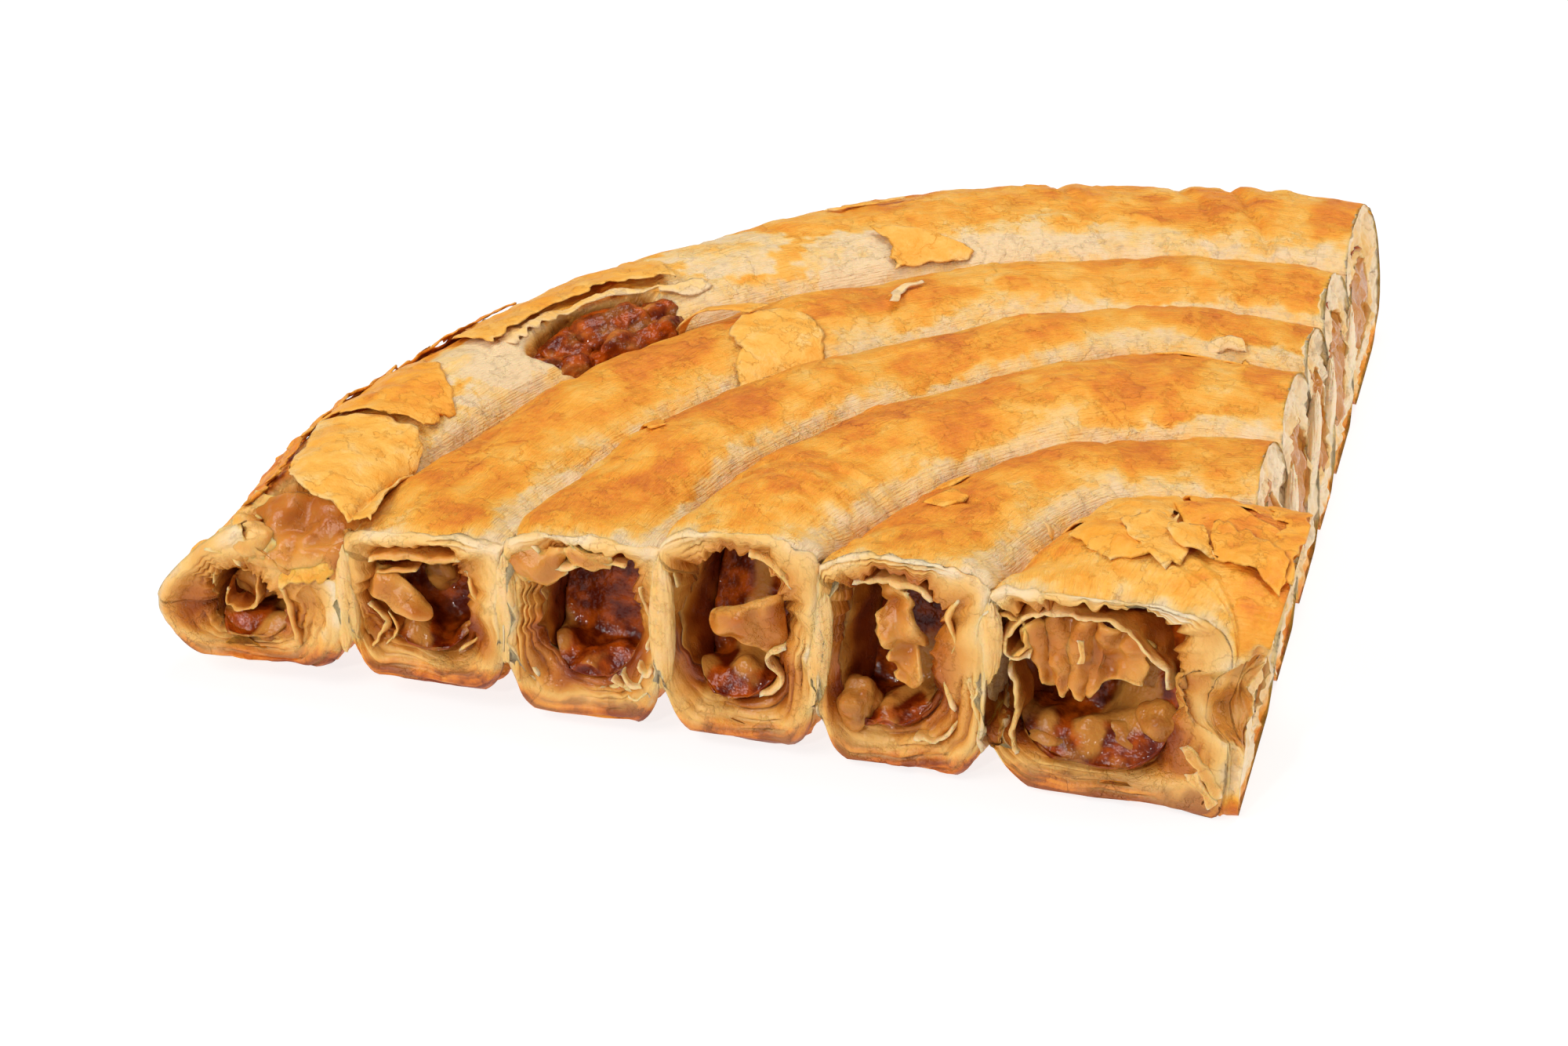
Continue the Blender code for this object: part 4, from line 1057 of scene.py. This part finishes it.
def lump(middle, size, bumps=0.25, grain=0.08, fine=24, bake=0.6, crumb=0.0, wet_and_shade=0.0, seed=0.0):
    """A lump about a point, with half sizes along x, y and z; bumps are a share of its size."""
    rings = Rings()
    around = np.linspace(0, 2 * pi, 2 * fine, endpoint=False)
    for polar in np.linspace(0, pi, fine + 1):
        x, y = np.cos(around) * sin(polar), np.sin(around) * sin(polar)
        way = np.stack((x, y, 0 * around + cos(polar)), -1)
        spread = 1 + bumps * rough(way * 1.1, 1.0, seed) + 0.28 * bumps * rough(way * 2.7, 1.0, seed + 4)
        spread = spread + grain * rough(way * 7.0, 1.0, seed + 8)
        points = np.array(middle) + way * np.array(size) * spread[:, None]
        soak = wet_and_shade + 0.3 * wet_and_shade * rough(way * 1.3, 1.0, seed + 5) - 0.15 * wet_and_shade * way[:, 2]
        rings.add(points, bake + 0.14 * rough(way * 1.6, 1.0, seed + 6), crumb, soak)
    return rings


def shader(name, **inputs):
    """A material with one Principled shader, whose plain inputs are set on it."""
    material = bpy.data.materials.new(name)
    material.use_nodes = True
    tree = material.node_tree
    surface = tree.nodes["Principled BSDF"]
    for label, value in inputs.items():
        surface.inputs[label.replace("_", " ")].default_value = value
    return material, tree, surface


def noise_on(tree, space, scale, detail, roughness=0.5):
    """Noise over the given coordinates."""
    made = tree.nodes.new("ShaderNodeTexNoise")
    for label, value in (("Scale", scale), ("Detail", detail), ("Roughness", roughness)):
        made.inputs[label].default_value = value
    tree.links.new(space, made.inputs["Vector"])
    return made.outputs["Fac"]


def noise_node(tree, scale, detail=3.0, roughness=0.5):
    """Noise in object space; scale is in bumps a metre."""
    space = tree.nodes.new("ShaderNodeTexCoord").outputs["Object"]
    return noise_on(tree, space, scale, detail, roughness)


def attribute(tree, name):
    """What is marked on a mesh's points under a name."""
    made = tree.nodes.new("ShaderNodeAttribute")
    made.attribute_name = name
    return made.outputs["Fac"]


def calculate(tree, operation, *values):
    """A Math node; its values are sockets or numbers."""
    made = tree.nodes.new("ShaderNodeMath")
    made.operation = operation
    for slot, value in zip(made.inputs, values):
        if isinstance(value, (int, float)):
            slot.default_value = value
        else:
            tree.links.new(value, slot)
    return made.outputs["Value"]


def ramp(tree, factor, stops):
    """A colour ramp with the given (place, colour) stops."""
    made = tree.nodes.new("ShaderNodeValToRGB")
    tree.links.new(factor, made.inputs["Fac"])
    elements = made.color_ramp.elements
    while len(elements) < len(stops):
        elements.new(0.5)
    for element, (position, colour) in zip(elements, stops):
        element.position = position
        element.color = (*colour, 1)
    return made.outputs["Color"]


def mix(tree, factor, first, second):
    """One colour fading into another."""
    made = tree.nodes.new("ShaderNodeMix")
    made.data_type = "RGBA"
    tree.links.new(factor, made.inputs["Factor"])
    for slot, value in ((made.inputs["A"], first), (made.inputs["B"], second)):
        if isinstance(value, tuple):
            slot.default_value = (*value, 1)
        else:
            tree.links.new(value, slot)
    return made.outputs["Result"]


def bump(tree, surface, *heights):
    """Relief finer than the mesh: (height socket, depth in millimetres), added one on another."""
    normal = None
    for height, depth in heights:
        made = tree.nodes.new("ShaderNodeBump")
        made.inputs["Strength"].default_value = 1.0
        made.inputs["Distance"].default_value = depth * MM
        tree.links.new(height, made.inputs["Height"])
        if normal:
            tree.links.new(normal, made.inputs["Normal"])
        normal = made.outputs["Normal"]
    tree.links.new(normal, surface.inputs["Normal"])


# Colours by how baked the skin is, of dry and buttery dough and its pits, and by wetness with painted shade.
BAKED = (
    (0.0, (0.82, 0.6, 0.34)), (0.2, (0.85, 0.55, 0.2)), (0.38, (0.88, 0.445, 0.072)),
    (0.56, (0.85, 0.345, 0.026)), (0.72, (0.77, 0.24, 0.014)), (0.86, (0.6, 0.14, 0.009)),
    (1.0, (0.27, 0.045, 0.006)),
)
CREAM = (0.84, 0.65, 0.42)
BUTTER = (0.86, 0.53, 0.18)
PITTED = (0.60, 0.40, 0.22)
JAM = (0.11, 0.009, 0.0008), (0.50, 0.085, 0.004)
APPLE = (0.64, 0.30, 0.06), (0.42, 0.12, 0.012)
WET_AND_SHADE = (
    (0.22, (0.82, 0.48, 0.14)), (0.42, (0.68, 0.295, 0.05)), (0.65, (0.48, 0.14, 0.014)),
    (0.85, (0.29, 0.06, 0.006)), (1.0, (0.17, 0.022, 0.002)),
)


def baked_dough(name, glow, depth=0.0022):
    """Crust and cut dough: the marks on each point say how baked and how open it is, and its wetness with
    painted shade.
    """
    material, tree, surface = shader(
        name, Subsurface_Weight=glow, Subsurface_Radius=(1.0, 0.45, 0.18), Subsurface_Scale=depth,
        IOR=1.42, Specular_IOR_Level=0.45,
    )
    bake = attribute(tree, "bake")
    streaks = roll_noise(tree, 2.0, 16.0)
    baked = bake
    grain, blotches = noise_node(tree, 900.0), noise_node(tree, 260.0, 6.0, 0.7)
    for height, amount in ((grain, 0.2), (blotches, 0.44), (streaks, 0.16)):
        baked = calculate(tree, "ADD", baked, calculate(tree, "MULTIPLY_ADD", height, amount, -amount / 2))
    islands = smooth(tree, noise_node(tree, 110.0, 9.0, 0.62), 0.50, 0.53)
    baked = calculate(tree, "MULTIPLY_ADD", islands, 0.07, calculate(tree, "ADD", baked, -0.035))
    vein = calculate(tree, "ABSOLUTE", calculate(tree, "ADD", noise_node(tree, 75.0, 6.0, 0.6), -0.5), 0.0)
    vein = smooth(tree, vein, 0.012, 0.0)
    vein = calculate(tree, "MULTIPLY", vein, smooth(tree, noise_node(tree, 31.0), 0.5, 0.66))
    baked = calculate(tree, "MULTIPLY_ADD", vein, 0.14, baked)
    skin = ramp(tree, baked, BAKED)
    pits = calculate(tree, "MULTIPLY", smooth(tree, noise_node(tree, 650.0, 3.0), 0.5, 0.75), 0.55)
    pits = calculate(tree, "MULTIPLY", pits, smooth(tree, bake, 0.36, 0.18))
    skin = mix(tree, pits, skin, PITTED)
    wet_and_shade = attribute(tree, "wet_and_shade")
    oily = calculate(tree, "MULTIPLY_ADD", wet_and_shade, 2.0, noise_node(tree, 200.0, 4.0))
    dough = mix(tree, smooth(tree, oily, 0.55, 1.15), CREAM, BUTTER)
    dough = mix(tree, smooth(tree, baked, 0.22, 0.6), dough, skin)
    colour = mix(tree, attribute(tree, "crumb"), skin, dough)
    # The wetness ramp darkens soaked dough, and with it the painted shade in the hollows and between cut
    # layers.
    colour = mix(tree, smooth(tree, wet_and_shade, 0.02, 0.3), colour, ramp(tree, wet_and_shade, WET_AND_SHADE))
    tree.links.new(colour, surface.inputs["Base Color"])
    dry = calculate(tree, "MULTIPLY_ADD", noise_node(tree, 420.0, 4.0), 0.3, 0.36)
    tree.links.new(calculate(tree, "MULTIPLY_ADD", wet_and_shade, -0.55, dry), surface.inputs["Roughness"])
    dried = smooth(tree, wet_and_shade, 0.7, 0.0)
    bump(
        tree, surface,
        (calculate(tree, "MULTIPLY", noise_node(tree, 420.0, 4.0, 0.6), dried), 0.5),
        (streaks, 0.35),
        (calculate(tree, "SUBTRACT", islands, vein), 0.10),
        (noise_node(tree, 1500.0, 3.0, 0.6), 0.14),
    )
    return material


def roll_noise(tree, along_roll, across_roll):
    """Noise drawn out along the roll; the numbers are bumps a centimetre."""
    place_on = tree.nodes.new("ShaderNodeCombineXYZ")
    for slot, name, scale in (("X", "run", along_roll), ("Y", "side", across_roll)):
        tree.links.new(calculate(tree, "MULTIPLY", attribute(tree, name), scale), place_on.inputs[slot])
    return noise_on(tree, place_on.outputs["Vector"], 1.0, 4.0)


def smooth(tree, value, low, high):
    """A Map Range from low to high, eased at both ends."""
    made = tree.nodes.new("ShaderNodeMapRange")
    made.interpolation_type = "SMOOTHSTEP"
    made.inputs["From Min"].default_value = low
    made.inputs["From Max"].default_value = high
    tree.links.new(value, made.inputs["Value"])
    return made.outputs["Result"]


def apple_filling():
    """Apple in jam: bake here is how much of it is apple."""
    material, tree, surface = shader(
        "apple filling", Subsurface_Weight=0.3, Subsurface_Radius=(1.0, 0.35, 0.1), Subsurface_Scale=0.002,
        IOR=1.38, Roughness=0.10, Specular_IOR_Level=0.4,
    )
    jam = mix(tree, smooth(tree, noise_node(tree, 350.0, 4.0), 0.35, 0.75), *JAM)
    apple = mix(tree, noise_node(tree, 160.0, 4.0), *APPLE)
    share = calculate(tree, "MULTIPLY_ADD", noise_node(tree, 260.0), 0.5, -0.25)
    share = calculate(tree, "ADD", attribute(tree, "bake"), share)
    tree.links.new(mix(tree, smooth(tree, share, 0.4, 0.75), jam, apple), surface.inputs["Base Color"])
    bump(tree, surface, (noise_node(tree, 420.0, 3.0, 0.5), 0.5), (noise_node(tree, 1500.0, 2.0), 0.16))
    return material


# The floor, the sky, and the lamps: name, place in metres, size in metres and power in watts.
FLOOR_HALF = 2.0
FLOOR_DROP = 0.0002
FLOOR_COLOUR = (0.24, 0.24, 0.24, 1)
FLOOR_GLOW = 0.80
SKY_COLOUR = (1.0, 0.97, 0.93, 1)
SKY_STRENGTH = 0.27
LAMPS = (
    ("key", (-0.7, -0.75, 0.95), 0.6, 8.6),
    ("top", (0.1, 0.35, 1.2), 0.7, 7.5),
    ("side", (1.3, 0.05, 0.3), 0.6, 7.4),
    ("glint", (-0.2, -1.0, 0.6), 0.06, 3.4),
)


def studio():
    """Pale floor and soft white light from the sky and the lamps."""
    bm = bmesh.new()
    bmesh.ops.create_grid(bm, x_segments=1, y_segments=1, size=FLOOR_HALF)
    bmesh.ops.translate(bm, vec=(0, 0, -FLOOR_DROP), verts=bm.verts[:])
    mesh = bpy.data.meshes.new("floor")
    bm.to_mesh(mesh)
    bm.free()
    floor = bpy.data.objects.new("floor", mesh)
    bpy.context.scene.collection.objects.link(floor)
    pale, _, _ = shader(
        "pale floor", Base_Color=FLOOR_COLOUR, Roughness=0.9, Emission_Color=(1, 1, 1, 1),
        Emission_Strength=FLOOR_GLOW,
    )
    mesh.materials.append(pale)

    bpy.context.scene.view_settings.view_transform = "Standard"
    world = bpy.data.worlds.new("soft light")
    bpy.context.scene.world = world
    world.use_nodes = True
    sky = world.node_tree.nodes["Background"]
    sky.inputs["Color"].default_value = SKY_COLOUR
    sky.inputs["Strength"].default_value = SKY_STRENGTH
    for name, place_at, size, power in LAMPS:
        lamp = bpy.data.lights.new(name, "AREA")
        lamp.size = size
        lamp.energy = power
        shine = bpy.data.objects.new(name, lamp)
        shine.location = place_at
        shine.rotation_euler = (-Vector(place_at)).to_track_quat("-Z", "Y").to_euler()
        bpy.context.scene.collection.objects.link(shine)


# The camera: its place from the coil's centre in millimetres, and which way it looks.
CAMERA_PLACE = (57.9, -480.0, 329.2)
CAMERA_YAW = -0.2566
CAMERA_PITCH = 0.5255
CAMERA_LENS = 90.0
SENSOR_WIDTH = 36.0
CLIP_START = 0.01


def camera():
    """A camera that looks down on the first cut from the coil's centre line."""
    lens = bpy.data.cameras.new("camera")
    lens.lens = CAMERA_LENS
    lens.sensor_width = SENSOR_WIDTH
    lens.clip_start = CLIP_START
    eye = bpy.data.objects.new("camera", lens)
    eye.location = Vector((CENTRE[0] + CAMERA_PLACE[0], CENTRE[1] + CAMERA_PLACE[1], CAMERA_PLACE[2])) * MM
    level = cos(CAMERA_PITCH)
    look = Vector((sin(CAMERA_YAW) * level, cos(CAMERA_YAW) * level, -sin(CAMERA_PITCH)))
    eye.rotation_euler = look.to_track_quat("-Z", "Y").to_euler()
    bpy.context.scene.collection.objects.link(eye)
    bpy.context.scene.camera = eye


def in_side(points):
    """World points of (radius, height, distance before the second cut)."""
    return behind(1, points[..., 0], QUARTER, -points[..., 2], points[..., 1])


def seam_welt(turn):
    """Soft dough that bridges the seam inside a turn, at each cut."""
    made = []
    for end, mapping, low, high, size, wet_and_shade in (
        (0.0, in_front, WELT_STARTS[turn], groove(turn, 0) - 1.0, (2.0, 1.3), 0.2),
        (QUARTER, in_side, 2.0, groove(turn, QUARTER) - 1.0, (1.3, 2.6), 0.03),
    ):
        middle = mapping(np.array((seam(turn, end), (low + high) / 2, 1.2)))
        size = (*size, (high - low) / 2)
        seed = turn + 40 * end
        made.append(lump(middle, size, 0.12, 0.05, fine=40, bake=0.12, crumb=1.0, wet_and_shade=wet_and_shade, seed=seed))
    return made


def sheets(turn, material):
    """The loose sheets of dough round and in one hollow."""
    made = []
    for number, (path, near, far, options) in enumerate(SHEETS.get(turn, ())):
        made.append(ribbon(path, near, far, seed=turn * 10.0 + number, **options))
    for number, (first, second, options) in enumerate(CURTAINS.get(turn, ())):
        made.append(leaf(first, second, in_front, seed=turn * 10.0 + 50 + number, **options))
    for number, (radius, back, height, size) in enumerate(SWOLLEN.get(turn, ())):
        middle = in_front(np.array((radius, height, back), dtype=float))
        made.append(lump(middle, size, 0.15, 0.02, bake=0.1, crumb=1.0, wet_and_shade=0.3, seed=turn * 3.0 + number))
    if turn < TURNS:
        made.extend(seam_welt(turn))
    dress(f"sheets_{turn}", made, material, "baked_dough")


def flakes(turn, material):
    """The loose flakes on one turn's top."""
    made = []
    for number, (first, second, style) in enumerate(FLAKES[turn]):
        made.append(flake(first, second, style, turn * 7.0 + number))
    dress(f"flakes_{turn}", made, material, "baked_dough")


def apples(turn, material):
    """Lumps of apple in one hollow."""
    made = []
    for number, (radius, back, height, size) in enumerate(APPLES[turn]):
        middle = in_front(np.array((radius, height, back), dtype=float))
        made.append(lump(middle, size, bumps=0.24, grain=0.012, bake=0.68, seed=turn * 5.0 + number))
    dress(f"apples_{turn}", made, material, "apple_filling")


def burst(material):
    """Jam that has boiled out through the torn crust of turn 1."""
    made = []
    for number, (degrees, radius, height, size, turned) in enumerate(BURST):
        t = radians(degrees)
        middle = place(1, radius, t, height)
        blob = lump((0, 0, 0), size, bumps=0.26, grain=0.03, fine=48, bake=0.44, seed=60.0 + number)
        way = QUARTER - t + radians(turned)
        spin = np.array(((cos(way), -sin(way), 0), (sin(way), cos(way), 0), (0, 0, 1)))
        blob.points = [points @ spin.T + middle for points in blob.points]
        made.append(blob)
    dress("burst_jam", made, material, "apple_filling")


crust_finish = baked_dough("baked dough", 0.2)
sheet_finish = baked_dough("thin sheets", 0.5, 0.0012)
flake_finish = baked_dough("loose flakes", 0.0)
apple_finish = apple_filling()
for turn in range(1, TURNS + 1):
    crust(turn, crust_finish)
    filling(turn, apple_finish)
    sheets(turn, sheet_finish)
    flakes(turn, flake_finish)
    apples(turn, apple_finish)
burst(apple_finish)
studio()
camera()
